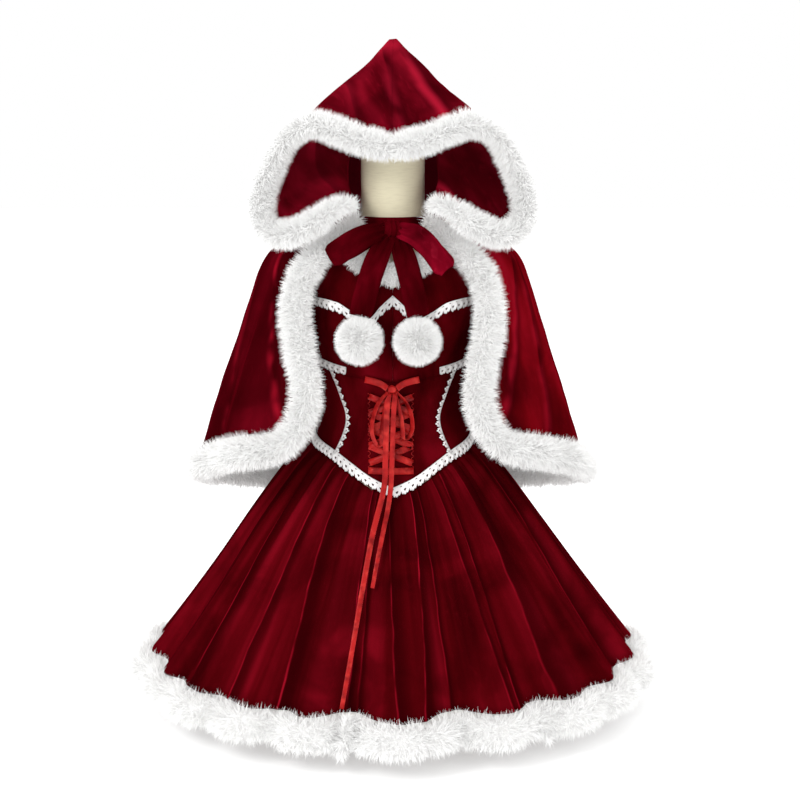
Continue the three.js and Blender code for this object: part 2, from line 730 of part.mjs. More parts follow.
function buildSkirt() {
  const outer = SKIRT_ROWS.map((t) =>
    Array.from({ length: SKIRT_COLUMNS }, (_, c) => skirtPoint((360 * c) / SKIRT_COLUMNS - 90, t)),
  );
  const normals = gridNormals(outer, true, (p) => vec(0, 0, p.z - 200));
  const inner = shifted(outer, normals, -VELVET);
  // The wall's top edge stays level, so that it stands clear of the bodice above it
  inner[0].forEach((p, c) => p.setZ(outer[0][c].z));
  const closed = (grid) => grid.map((row) => [...row, row[0]]);
  const quarter = SKIRT_COLUMNS / 2;
  const grids = [outer, inner].map(closed);
  addWall('skirt_front', ...grids.map((grid) => seamed(grid, 0, quarter)), false, velvet);
  addWall('skirt_back', ...grids.map((grid) => seamed(grid, quarter, SKIRT_COLUMNS)), false, velvet);
  const last = outer.length - 1;
  const line = [];
  const lineNormals = [];
  const outwards = [];
  for (let c = 0; c < SKIRT_COLUMNS; c += 1) {
    line.push(outer[last][c].clone().lerp(inner[last][c], 0.5));
    lineNormals.push(normals[last][c]);
    outwards.push(outer[last][c].clone().sub(outer[last - 1][c]));
  }
  addTrim('skirt_fur_hem', edgeAlong(line, lineNormals, outwards, true), FUR.skirt, true, fur);
}

// Cape
const capeColumn = Object.fromEntries(
  ['half', 'front', 'back', 'open'].map((column) => [column, through(CAPE, 'drop', column)]),
);

function capePoint(share, drop) {
  const half = capeColumn.half(drop);
  const start = deg(Math.asin(clamp(capeColumn.open(drop) / half, 0, 0.999)));
  const angle = mix(start, 360 - start, share);
  const turn = rad(angle);
  const depth = Math.cos(turn) > 0 ? capeColumn.front(drop) : capeColumn.back(drop);
  const hem = CAPE_HEM.middle + CAPE_HEM.swing * Math.cos(turn);
  const fold = foldAt(CAPE_FOLDS, angle) * drop ** 1.3;
  const outward = vec(Math.sin(turn), -Math.cos(turn), 0);
  return vec(half * Math.sin(turn), -depth * Math.cos(turn), mix(NECK_SEAM.z, hem, drop))
    .addScaledVector(outward, 6 * drop - fold);
}

function buildCape() {
  const outer = CAPE.map(({ drop }) => steps(CAPE_COLUMNS).map((share) => capePoint(share, drop)));
  const normals = gridNormals(outer, false, (p) => vec(0, 0, p.z - 150));
  const inner = shifted(outer, normals, -CAPE_VELVET);
  inner[0].forEach((p, c) => p.setZ(outer[0][c].z));
  const sideSeam = Math.round(CAPE_COLUMNS * 0.22);
  const cuts = [
    ['cape_front_right', 0, sideSeam],
    ['cape_back', sideSeam, CAPE_COLUMNS - sideSeam],
    ['cape_front_left', CAPE_COLUMNS - sideSeam, CAPE_COLUMNS],
  ];
  cuts.forEach(([name, from, to]) => {
    addWall(name, seamed(outer, from, to), seamed(inner, from, to), false, velvetLight);
  });
  const last = outer.length - 1;
  const cell = (r, c, outward) => ({
    point: outer[r][c].clone().lerp(inner[r][c], 0.5),
    normal: normals[r][c],
    outward,
  });
  const frontEdge = (c, next) =>
    outer.slice(0, -1).map((row, r) => cell(r, c, row[c].clone().sub(row[next])));
  const hemEdge = steps(CAPE_COLUMNS).map((_, c) => cell(last, c, outer[last][c].clone().sub(outer[last - 1][c])));
  const down = frontEdge(0, 1);
  const up = frontEdge(CAPE_COLUMNS, CAPE_COLUMNS - 1).reverse();
  const cells = [...down, ...hemEdge, ...up];
  const edge = edgeAlong(
    cells.map(({ point }) => point),
    cells.map(({ normal }) => normal),
    cells.map(({ outward }) => outward),
    false,
  );
  const narrow = [0.5, 0.72, 0.92];
  edge.forEach((station, i) => {
    const scale = narrow[Math.min(i, edge.length - 1 - i)] ?? 1;
    Object.assign(station, { scale });
  });
  // The trim is in three lengths that meet at the side seams
  const cutsAt = [0, down.length + sideSeam, down.length + CAPE_COLUMNS - sideSeam, edge.length - 1];
  ['right', 'back', 'left'].forEach((name, i) => {
    const length = edge.slice(cutsAt[i], cutsAt[i + 1] + 1).map((station) => ({ ...station }));
    const drawIn = (end, next) => {
      const inward = length[next].point.clone().sub(length[end].point).normalize();
      length[end].point = length[end].point.clone().addScaledVector(inward, SEAM);
    };
    if (i > 0) drawIn(0, 1);
    if (i < 2) drawIn(length.length - 1, length.length - 2);
    addTrim(`cape_fur_${name}`, length, FUR.cape, false, fur);
  });
}

// Hood
function hoodStations() {
  const trimReach = FUR.hood.half * Math.cos(Math.PI / FUR.hood.sides) + FUR.hood.gap;
  const front = HOOD_FRONT.map((row, i) => {
    const share = i / (HOOD_FRONT.length - 1);
    const scale = share > 0.9 ? 0.7 : 1;
    const source = HOOD_TIP.clone().lerp(vec(0, 60, 800), Math.min(share * 1.25, 1));
    const centre = vec(row.x, row.y, row.z);
    const away = centre.clone().sub(source).normalize();
    return {
      edge: centre.clone().addScaledVector(away, -trimReach * scale),
      bow: vec(row.bowX, row.bowY, row.bowZ),
      away,
      scale,
    };
  });
  const neck = HOOD_NECK.map(({ angle, bowX, bowY, bowZ }) => {
    const turn = rad(angle);
    const depth = Math.cos(turn) > 0 ? NECK_SEAM.front : NECK_SEAM.back;
    const x = NECK_SEAM.half * Math.sin(turn);
    return { edge: vec(x, -depth * Math.cos(turn), NECK_SEAM.z + SEAM), bow: vec(bowX, bowY, bowZ) };
  });
  return { front, neck };
}

const smoothPath = (points, count) => new THREE.CatmullRomCurve3(points, false, 'centripetal').getPoints(count);

function buildHood() {
  const { front, neck } = hoodStations();
  const all = [...front, ...neck];
  const columns = (all.length - 1) * HOOD_COLUMNS_PER_ROW;
  const edges = smoothPath(all.map(({ edge }) => edge), columns);
  const bows = smoothPath(all.map(({ bow }) => bow), columns);
  const frontCount = (front.length - 1) * HOOD_COLUMNS_PER_ROW;
  edges.slice(frontCount + 1).forEach((p) => p.setZ(Math.max(p.z, NECK_SEAM.z + SEAM)));
  const grid = steps(HOOD_ROWS).map((t) =>
    edges.map((edge, c) => {
      const near = HOOD_TIP.clone().lerp(bows[c], t);
      const far = bows[c].clone().lerp(edge, t);
      return near.lerp(far, t);
    }),
  );
  const normals = gridNormals(grid, false, (p) => vec(0, 20, Math.min(p.z - 30, 900)));
  const inner = shifted(grid, normals, -CAPE_VELVET);
  inner[0].forEach((p) => p.copy(HOOD_TIP).add(vec(0, 0, -2 * CAPE_VELVET)));
  const bottom = grid.length - 1;
  for (let c = frontCount + 1; c <= columns; c += 1) inner[bottom][c].setZ(grid[bottom][c].z);
  const mirror = (points, sign) => points.map((row) => row.map((p, c) => {
    const onSeam = c === 0 || c === columns || row[0].x === row[columns].x;
    const x = onSeam ? SEAM / 2 : Math.max(p.x, SEAM / 2);
    return vec(sign * x, p.y, p.z);
  }));
  addWall('hood_right', mirror(grid, 1), mirror(inner, 1), false, velvetLight);
  addWall('hood_left', mirror(grid, -1), mirror(inner, -1), false, velvetLight);
  const right = edges.slice(0, frontCount + 1).map((point, c) => ({
    point: point.clone().lerp(inner[bottom][c], 0.5),
    normal: normals[bottom][c],
    outward: point.clone().sub(grid[bottom - 1][c]),
    scale: c > frontCount - 3 ? 0.7 : 1,
  }));
  right[0].point.setX(SEAM / 2);
  const edge = edgeAlong(
    right.map(({ point }) => point),
    right.map(({ normal }) => normal),
    right.map(({ outward }) => outward),
    false,
  );
  edge.forEach((station, i) => Object.assign(station, { scale: right[i].scale }));
  // The ring at the crown lies square to the middle, so that the two halves of the trim meet there
  edge[0].away.setX(0).normalize();
  edge[0].normal.setX(0).normalize();
  addTrim('hood_fur_right', edge, FUR.hood, false, fur);
  const mirrorPoints = edge.map(({ point, normal, away, scale }) => {
    const flip = (v) => vec(-v.x, v.y, v.z);
    return { point: flip(point), normal: flip(normal), away: flip(away), scale };
  });
  addTrim('hood_fur_left', mirrorPoints, FUR.hood, false, fur);
}

// Velvet tie at the neck with its bow and pompoms. The band's sections, by angle from the front: its
// lower and upper edge and how far it stands off the neck
const TIE_BAND_HALF = [
  { angle: 0, low: 772, high: 790, out: -0.5 },
  { angle: 12, low: 772, high: 790, out: -0.5 },
  { angle: 24, low: 772, high: 790, out: -0.5 },
  { angle: 36, low: 774, high: 790, out: -0.5 },
  { angle: 47, low: 777, high: 790, out: 2 },
  { angle: 56, low: 780, high: 791, out: 8.5 },
  { angle: 63, low: 781, high: 791.8, out: 15.1 },
  { angle: 72, low: 781, high: 791.8, out: 15.6 },
];
const TIE_BAND = [
  ...TIE_BAND_HALF.slice(1).reverse().map((row) => ({ ...row, angle: -row.angle })),
  ...TIE_BAND_HALF,
];

function buildTie() {
  // The band lies on the neck in front, and swings out to the neck seam that it is sewn to
  const layer = (distance) =>
    steps(2).map((v) =>
      TIE_BAND.map(({ angle, low, high, out }) => {
        const point = bodyPoint(angle, mix(low, high, v));
        const turn = rad(angle);
        return point.add(vec(Math.sin(turn), -Math.cos(turn), 0).multiplyScalar(out + distance));
      }),
    );
  addWall('tie_band', layer(FORM_CLEAR + VELVET), layer(FORM_CLEAR), false, velvet);
  const knot = new THREE.SphereGeometry(1, 10, 8).toNonIndexed().getAttribute('position');
  const centre = vec(-1, -70, 772);
  const points = Array.from({ length: knot.count }, (_, i) =>
    vec(knot.getX(i) * 19, knot.getY(i) * 14, knot.getZ(i) * 16).add(centre),
  );
  const faces = steps(knot.count / 3 - 1).map((_, i) => [3 * i, 3 * i + 1, 3 * i + 2]);
  addSolid('tie_knot', points, faces, velvet);
  const loops = {
    left: [
      { x: -19, y: -79, z: 775, width: 20 },
      { x: -40, y: -108, z: 769, width: 31 },
      { x: -64, y: -130, z: 757, width: 37 },
      { x: -86, y: -141, z: 743, width: 38 },
      { x: -92, y: -138.4, z: 740.4, width: 38 },
      { x: -90.5, y: -132, z: 743, width: 38 },
      { x: -64, y: -119, z: 755, width: 34 },
      { x: -39, y: -97, z: 764, width: 28 },
      { x: -20.6, y: -72, z: 770, width: 20 },
    ],
    right: [
      { x: 17, y: -79, z: 775, width: 20 },
      { x: 36, y: -108, z: 767, width: 31 },
      { x: 56, y: -130, z: 751, width: 36 },
      { x: 74, y: -142, z: 727, width: 37 },
      { x: 79.5, y: -139.6, z: 723.2, width: 37 },
      { x: 79.5, y: -133.7, z: 727, width: 37 },
      { x: 58, y: -119, z: 748, width: 34 },
      { x: 35, y: -97, z: 762, width: 28 },
      { x: 18.6, y: -72, z: 770, width: 20 },
    ],
  };
  const tails = {
    left: [
      { x: -9.5, y: -78.8, z: 760.6, width: 18 },
      { x: -22, y: -109, z: 742, width: 29 },
      { x: -33, y: -126, z: 712, width: 33 },
      { x: -41, y: -142, z: 682, width: 33 },
      { x: -48, y: -158, z: 655, width: 30 },
    ],
    right: [
      { x: 7.6, y: -78.8, z: 760.8, width: 14 },
      { x: 17, y: -104, z: 741, width: 29 },
      { x: 25, y: -123, z: 712, width: 33 },
      { x: 32, y: -141, z: 682, width: 33 },
      { x: 38, y: -158, z: 654, width: 30 },
    ],
  };
  // The fold of each loop: square to its legs near the tip
  const folds = { left: vec(-0.463, -0.232, 0.856), right: vec(0.629, -0.418, 0.654) };
  ['left', 'right'].forEach((side) => {
    const loop = loops[side].map(({ x, y, z, width }) => ({ point: vec(x, y, z), across: folds[side], width }));
    addRibbon(`tie_loop_${side}`, loop, TIE_THICK, false, velvet);
    const tail = tails[side].map(({ x, y, z, width }) => ({ point: vec(x, y, z), across: vec(1, 0, 0), width }));
    addRibbon(`tie_tail_${side}`, tail, TIE_THICK, false, velvet);
    const end = tail[tail.length - 1].point;
    addPompom(`pompom_${side}`, end.clone().add(vec(0, 0, -POMPOM.tip - SEAM)));
  });
}

// A ball of three-sided locks on a round core, one lock on each face, with one lock straight up
function addPompom(name, centre) {
  const ball = new THREE.IcosahedronGeometry(1, 1).getAttribute('position');
  const corner = (i) => vec(ball.getX(i), ball.getY(i), ball.getZ(i));
  const locks = Array.from({ length: ball.count / 3 }, (_, i) => [3 * i, 3 * i + 1, 3 * i + 2].map(corner));
  const middle = ([a, b, c]) => a.clone().add(b).add(c).normalize();
  const turn = new THREE.Quaternion().setFromUnitVectors(middle(locks[0]), vec(0, 0, 1));
  const points = [];
  const faces = [];
  locks.forEach((base, i) => {
    const reach = i === 0 ? 1 : 0.93 + 0.07 * Math.sin(i * 2.4);
    const tip = middle(base).multiplyScalar(POMPOM.tip * reach);
    const first = points.length;
    [...base.map((p) => p.clone().multiplyScalar(POMPOM.core)), tip].forEach((p) => {
      points.push(p.applyQuaternion(turn).add(centre));
    });
    faces.push([first, first + 1, first + 3], [first + 1, first + 2, first + 3], [first + 2, first, first + 3]);
  });
  addSolid(name, points, faces, fur);
}

// Fur in the V of the dress's neck, lying on the yokes
function buildNeckFur() {
  // The middle of the trim dips between its sections, so it lies a little closer than a seam
  const lift = BODICE_OUT - SEAM + FUR.neck.thick;
  const line = steps(16).map((t) => {
    const angle = mix(-25, 25, t);
    return { angle, z: necklineHeight(angle) + 5 + 11 * bell(angle / 10) };
  });
  const rings = line.map(({ angle, z }, i) => {
    const centre = onBody(angle, z, lift);
    const normal = bodyNormal(angle, z);
    const before = line[Math.max(i - 1, 0)];
    const after = line[Math.min(i + 1, line.length - 1)];
    const along = onBody(after.angle, after.z, lift).sub(onBody(before.angle, before.z, lift)).normalize();
    const across = normal.clone().cross(along).normalize();
    return Array.from({ length: FUR.neck.sides }, (_, k) => {
      const turn = (2 * Math.PI * (k + 0.5)) / FUR.neck.sides;
      return centre
        .clone()
        .addScaledVector(across, Math.cos(turn) * FUR.neck.half)
        .addScaledVector(normal, Math.sin(turn) * FUR.neck.thick);
    });
  });
  addRings('neck_fur', rings, false, fur);
}

// The long satin tails lie over the panel's point and down the skirt
function buildSatinTails() {
  const tails = [
    { name: 'satin_tail_long', offset: -4, sway: -52, reach: 0.97, lift: 3.6, width: 9 },
    { name: 'satin_tail_short', offset: 5, sway: -20, reach: 0.42, lift: 2, width: 8 },
  ];
  tails.forEach(({ name, offset, sway, reach, lift, width }) => {
    const upper = [530.3, 521, 508, 450, 410, 378].map((z, i) => {
      const x = BOW.x + offset * (i ? 1 : 0.5) - i * 1.4;
      const distance = BOW.lift + [5, 11, 10 + lift, 10 + lift, 9 + lift, 7 + lift][i];
      return { point: frontPoint(x, z, distance), across: vec(1, 0, 0), width: i ? width : 4 };
    });
    const lower = steps(8).slice(1).map((s) => {
      const t = s * reach;
      const x = BOW.x + offset - 7 + sway * s;
      const angle = deg(Math.atan2(x, HEM.front * t + 100 * (1 - t)));
      const point = skirtPoint(angle, t);
      point.y -= 9 + lift + 6 * Math.sin(Math.PI * s);
      return { point, across: vec(1, 0, 0), width: width * (1 - 0.25 * s) };
    });
    addRibbon(name, [...upper, ...lower], SATIN, false, satin);
  });
}

buildForm();
buildBodice();
buildStraps();
buildLace();
buildLacing();
buildSatinBow();
buildSatinTails();
buildSkirt();
buildCape();
buildHood();
buildTie();
buildNeckFur();

export default model;
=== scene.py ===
"""A hooded velvet cape over a laced and gathered velvet dress, on a limbless dress form.

Metres, +Z up, the front faces -Y. Every cloth piece starts from its solid in the frame, or lies on it.
"""

import logging
import math
from collections.abc import Callable, Iterable, Sequence
from dataclasses import dataclass, replace
from enum import Enum

import bmesh
import bpy
from mathutils import Matrix, Vector, noise

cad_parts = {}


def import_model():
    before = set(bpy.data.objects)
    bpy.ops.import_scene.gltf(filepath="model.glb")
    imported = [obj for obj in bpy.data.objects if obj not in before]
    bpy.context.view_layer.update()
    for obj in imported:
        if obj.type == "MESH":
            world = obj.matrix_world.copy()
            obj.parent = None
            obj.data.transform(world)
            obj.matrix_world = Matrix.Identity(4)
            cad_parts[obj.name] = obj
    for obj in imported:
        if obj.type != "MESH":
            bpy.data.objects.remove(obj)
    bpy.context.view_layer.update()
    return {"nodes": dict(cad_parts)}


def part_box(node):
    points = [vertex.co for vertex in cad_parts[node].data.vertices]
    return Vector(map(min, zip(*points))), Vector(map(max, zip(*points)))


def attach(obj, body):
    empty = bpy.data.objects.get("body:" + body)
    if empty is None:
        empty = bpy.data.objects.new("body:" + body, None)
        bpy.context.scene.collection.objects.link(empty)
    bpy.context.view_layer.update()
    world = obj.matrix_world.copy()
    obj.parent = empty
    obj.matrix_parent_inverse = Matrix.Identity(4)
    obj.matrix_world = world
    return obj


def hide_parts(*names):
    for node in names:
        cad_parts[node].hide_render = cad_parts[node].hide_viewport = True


LOG = logging.getLogger("costume")
MM = 0.001
CLOTH_MAP = "cloth"
REACH = "reach"
ARC = 0.24  # metres of cloth for a radian round the middle of a half


# Curves through short tables
class Curve:
    """A smooth curve through pairs of numbers that doesn't overshoot them."""

    def __init__(self, points: Sequence[tuple[float, float]]) -> None:
        """Keep the points and the slope at each.

        Args:
            points: (x, y) pairs with x going up.
        """
        self.x = [x for x, _ in points]
        self.y = [y for _, y in points]
        last = len(points) - 1
        self.slope: list[float] = []
        for i in range(len(points)):
            low, high = max(i - 1, 0), min(i + 1, last)
            turns = high - low > 1 and (self.y[i] - self.y[low]) * (self.y[high] - self.y[i]) <= 0
            rise = (self.y[high] - self.y[low]) / (self.x[high] - self.x[low])
            self.slope.append(0.0 if turns else rise)

    def __call__(self, x: float) -> float:
        """Read the curve.

        Args:
            x: where to read it; outside the table the end value holds.

        Returns:
            The curve's height there.
        """
        i = 0
        while i < len(self.x) - 2 and x > self.x[i + 1]:
            i += 1
        width = self.x[i + 1] - self.x[i]
        t = clamp((x - self.x[i]) / width)
        t2, t3 = t * t, t * t * t
        return (
            (2 * t3 - 3 * t2 + 1) * self.y[i]
            + (t3 - 2 * t2 + t) * width * self.slope[i]
            + (3 * t2 - 2 * t3) * self.y[i + 1]
            + (t3 - t2) * width * self.slope[i + 1]
        )


def bell(x: float) -> float:
    """Return 1 at zero, falling off smoothly to both sides."""
    return math.exp(-x * x)


def clamp(x: float) -> float:
    """Return a number held between 0 and 1."""
    return min(max(x, 0.0), 1.0)


def mix(a: float, b: float, t: "Number") -> "Number":
    """Return the value a share t of the way from a to b."""
    return a + (b - a) * t


def ripple(x: float, y: float, z: float = 0.0) -> float:
    """Return smooth noise from about -1 to 1 at a point."""
    return noise.noise(Vector((x, y, z)))


@dataclass(frozen=True)
class Figure:
    """The general figure that the bodice is cut to, in millimetres."""

    half: Curve
    front: Curve
    back: Curve
    bust_depth: float = 27.0
    bust_angle: float = 31.0
    bust_spread: float = 19.0
    bust_z: float = 640.0
    bust_below: float = 44.0
    bust_above: float = 58.0

    @classmethod
    def standard(cls) -> "Figure":
        """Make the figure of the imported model.

        Returns:
            The figure.
        """
        rows = [
            (0, 150, 100, 104), (70, 157, 106, 112), (190, 165, 112, 122), (290, 163, 112, 122),
            (370, 146, 102, 106), (430, 127, 93, 90), (480, 116, 88, 80), (525, 120, 92, 84),
            (570, 128, 100, 92), (620, 136, 108, 98), (665, 144, 108, 102), (700, 155, 98, 102),
            (720, 163, 88, 98), (736, 158, 76, 86), (748, 136, 66, 76), (759, 106, 59, 67),
            (769, 78, 54, 60), (780, 58, 51, 54), (795, 51, 49, 51), (850, 50, 49, 50),
        ]
        columns = [Curve([(row[0], row[i]) for row in rows]) for i in (1, 2, 3)]
        return cls(*columns)

    def point(self, angle: float, z: float) -> Vector:
        """Find a point of the surface.

        Args:
            angle: degrees from the front, to the right.
            z: height in millimetres.

        Returns:
            The point, in millimetres.
        """
        turn = math.radians(angle)
        depth = self.front(z) if math.cos(turn) > 0 else self.back(z)
        rise = self.bust_above if z > self.bust_z else self.bust_below
        side = bell((abs(angle) - self.bust_angle) / self.bust_spread)
        cup = self.bust_depth * side * bell((z - self.bust_z) / rise)
        return Vector((self.half(z) * math.sin(turn), -depth * math.cos(turn) - cup, z))

    def normal(self, angle: float, z: float) -> Vector:
        """Find the outward direction of the surface.

        Args:
            angle: degrees from the front, to the right.
            z: height in millimetres.

        Returns:
            A unit vector.
        """
        across = self.point(angle + 0.5, z) - self.point(angle - 0.5, z)
        up = self.point(angle, z + 0.5) - self.point(angle, z - 0.5)
        return across.cross(up).normalized()

    def out(self, angle: float, z: float, distance: float) -> Vector:
        """Find a point a distance outside the surface.

        Args:
            angle: degrees from the front, to the right.
            z: height in millimetres.
            distance: millimetres outside the surface.

        Returns:
            The point, in metres.
        """
        return (self.point(angle, z) + self.normal(angle, z) * distance) * MM


FIGURE = Figure.standard()
WAIST = Curve([(0, 361), (12, 374), (30, 398), (45, 413), (68, 425), (90, 437), (130, 441), (180, 441)])
UNDERBUST = Curve([(0, 542), (45, 556), (60, 561), (90, 563)])
CUPS = Curve([(0, 674), (7, 660), (16, 641), (24, 650), (34, 664), (55, 668), (90, 664)])
PRINCESS = Curve([(395, 46), (413, 43.5), (450, 37.5), (482, 35), (520, 40), (570, 48.5)])
BODICE_OUT = 2.9  # millimetres from the figure to the bodice's face
LACE_LIFT = 1.1  # millimetres from the bodice to the lace


@dataclass(frozen=True)
class Fold:
    """A main crease, by its angle in degrees from the middle of its half, at the top and at the hem."""

    top: float
    hem: float
    # height sets a pressed fold's depth where the skirt is reshaped and its painted crest highlight's
    # strength; shade is the width of the painted shade beside it, in degrees
    height: float = 3.0
    shade: float = 8.0

    def at(self, t: "Number") -> "Number":
        """Return its angle a share t of the way down."""
        return mix(self.top, self.hem, t)


# the skirt's main creases: pressed into its shape and painted with crest highlights and painted shade
SKIRT_FOLDS = (
    Fold(-76, -73, 1.6), Fold(-64, -60, 2.4), Fold(-49, -46.5, 3.0, 7.0), Fold(-38, -32, 3.2, 13.0),
    Fold(-17, -13.5, 4.0, 4.0), Fold(-13, -10.5, 1.6, 3.0), Fold(-3.5, 1.5, 1.8, 6.0),
    Fold(15, 9, 4.4, 8.0), Fold(20, 17, 1.6, 3.0), Fold(32, 32, 1.5, 3.0), Fold(40, 34.5, 2.0, 4.0),
    Fold(50, 46, 1.3, 14.0), Fold(74, 70, 1.6),
)
SKIRT_TOP = 0.44  # metres, where the skirt's folds start
SKIRT_DROP = 0.35  # metres, how far down they reach
# painted creases only: crest highlights and shade painted on the cape fronts, with no crease in their
# shape
CAPE_PAINTED_CREASES = {
    "left": (Fold(-76, -43, 2.7, 6.0), Fold(-88, -74, 1.0, 4.0)),
    "right": (Fold(80, 40, 2.4, 5.0), Fold(79, 66, 1.5, 4.0)),
}
# painted creases only: crest highlights and shade painted on the hood, with no crease in its shape
HOOD_PAINTED_CREASES = (
    Fold(4, 6, 2.4, 12.0), Fold(-1, -12, 1.1, 5.0), Fold(16, 28, 0.9, 9.0), Fold(-18, -27, 0.8, 5.0),
)


# Shader building
def operator(operation: str, swapped: bool = False) -> Callable[..., "Value"]:
    """Make a method of Value that adds a Math node.

    Args:
        operation: the Math node's operation.
        swapped: whether the other value comes first.

    Returns:
        The method, which takes the other value if the operation needs one.
    """
    def method(value: "Value", other: "Number" = 0.0) -> "Value":
        """Return the Math node's output."""
        pair = (other, value) if swapped else (value, other)
        return value.tree.node("ShaderNodeMath", {"operation": operation}, dict(enumerate(pair)))

    return method


class Value:
    """A node's output socket that Python's operators work on."""

    def __init__(self, tree: "Tree", socket: bpy.types.NodeSocket | None) -> None:
        """Keep the socket and the tree that it belongs to.

        Args:
            tree: the tree that new nodes go into.
            socket: the output socket.
        """
        self.tree = tree
        self.socket = socket

    __add__ = operator("ADD")
    __radd__ = operator("ADD", swapped=True)
    __sub__ = operator("SUBTRACT")
    __rsub__ = operator("SUBTRACT", swapped=True)
    __mul__ = operator("MULTIPLY")
    __rmul__ = operator("MULTIPLY", swapped=True)
    __truediv__ = operator("DIVIDE")
    __pow__ = operator("POWER")
    wave = operator("SINE")
    size = operator("ABSOLUTE")
    fraction = operator("FRACT")

    def between(self, low: float, high: float) -> "Value":
        """Rise smoothly from 0 to 1.

        Args:
            low: the value that gives 0.
            high: the value that gives 1.

        Returns:
            The mask.
        """
        settings = {"interpolation_type": "SMOOTHSTEP"}
        return self.tree.node("ShaderNodeMapRange", settings, {0: self, 1: low, 2: high})


Number = Value | float
Triple = tuple[float, float, float]


class Tree:
    """A node tree under construction."""

    def __init__(self, tree: bpy.types.NodeTree) -> None:
        """Start from an empty tree.

        Args:
            tree: the tree, whose nodes are cleared.
        """
        self.tree = tree
        self.tree.nodes.clear()

    def node(
        self,
        kind: str,
        settings: dict[str, object] | None = None,
        inputs: dict[int | str, object] | None = None,
        output: int | str = 0,
    ) -> Value:
        """Add one node.

        Args:
            kind: the node's type.
            settings: its properties, set first.
            inputs: values or links of its sockets, by name or number.
            output: which output to return.

        Returns:
            The output socket.
        """
        made = self.tree.nodes.new(kind)
        for key, value in (settings or {}).items():
            setattr(made, key, value)
        for key, value in (inputs or {}).items():
            socket = made.inputs[key]
            if isinstance(value, Value):
                self.tree.links.new(value.socket, socket)
            elif isinstance(value, tuple) and len(value) == 3 and socket.type == "RGBA":
                socket.default_value = (*value, 1.0)
            else:
                socket.default_value = value
        return Value(self, made.outputs[output] if made.outputs else None)

    def vector(self, operation: str, first: Value, second: "Value | Triple") -> Value:
        """Add a Vector Math node with two vectors."""
        return self.node("ShaderNodeVectorMath", {"operation": operation}, {0: first, 1: second})

    def draw(self, low: Triple, high: Triple, seed: int) -> Value:
        """Add a node that draws a random vector between two corners."""
        settings = {"data_type": "FLOAT_VECTOR"}
        return self.node("FunctionNodeRandomValue", settings, {0: low, 1: high, "Seed": seed})


class Shader(Tree):
    """A material under construction."""

    def __init__(self, name: str) -> None:
        """Start an empty material.

        Args:
            name: the material's name.
        """
        self.material = bpy.data.materials.new(name)
        self.material.use_nodes = True
        super().__init__(self.material.node_tree)

    def place(self) -> Value:
        """Return the point on the object, in metres."""
        return self.node("ShaderNodeTexCoord", output="Object")

    def cloth(self) -> Value:
        """Return the point on the cloth, in metres along its two threads."""
        return self.node("ShaderNodeUVMap", {"uv_map": CLOTH_MAP})

    def stretched(self, point: Value, x: float, y: float, z: float) -> Value:
        """Scale a point.

        Args:
            point: the point.
            x: factor along x.
            y: factor along y.
            z: factor along z.

        Returns:
            The scaled point.
        """
        return self.vector("MULTIPLY", point, (x, y, z))

    def noise(self, point: Value, scale: float, detail: float = 2.0, warp: float = 0.0) -> Value:
        """Add a noise texture.

        Args:
            point: where to read it.
            scale: its frequency.
            detail: its octaves.
            warp: its distortion.

        Returns:
            The noise, about 0 to 1.
        """
        inputs = {"Vector": point, "Scale": scale, "Detail": detail, "Distortion": warp}
        return self.node("ShaderNodeTexNoise", None, inputs)

    def axis(self, point: Value, which: str) -> Value:
        """Return one coordinate of a point, "X", "Y" or "Z"."""
        return self.node("ShaderNodeSeparateXYZ", None, {0: point}, which)

    def blend(self, share: Number, first: "Value | Triple", second: "Value | Triple") -> Value:
        """Mix two colours.

        Args:
            share: how much of the second.
            first: the colour at 0.
            second: the colour at 1.

        Returns:
            The mixed colour.
        """
        settings = {"data_type": "RGBA", "clamp_factor": True}
        return self.node("ShaderNodeMix", settings, {0: share, 6: first, 7: second}, 2)

    def bump(self, height: Value, strength: float, distance: float) -> Value:
        """Turn a height into a normal.

        Args:
            height: the height, about 0 to 1.
            strength: how much of it shows.
            distance: what a height of 1 measures, in metres.

        Returns:
            The normal.
        """
        inputs = {"Height": height, "Strength": strength, "Distance": distance}
        return self.node("ShaderNodeBump", None, inputs)

    def finish(self, inputs: dict[int | str, object]) -> bpy.types.Material:
        """Add the surface and close the tree.

        Args:
            inputs: what the Principled BSDF's sockets get.

        Returns:
            The finished material.
        """
        surface = self.node("ShaderNodeBsdfPrincipled", None, inputs)
        self.node("ShaderNodeOutputMaterial", None, {"Surface": surface})
        return self.material


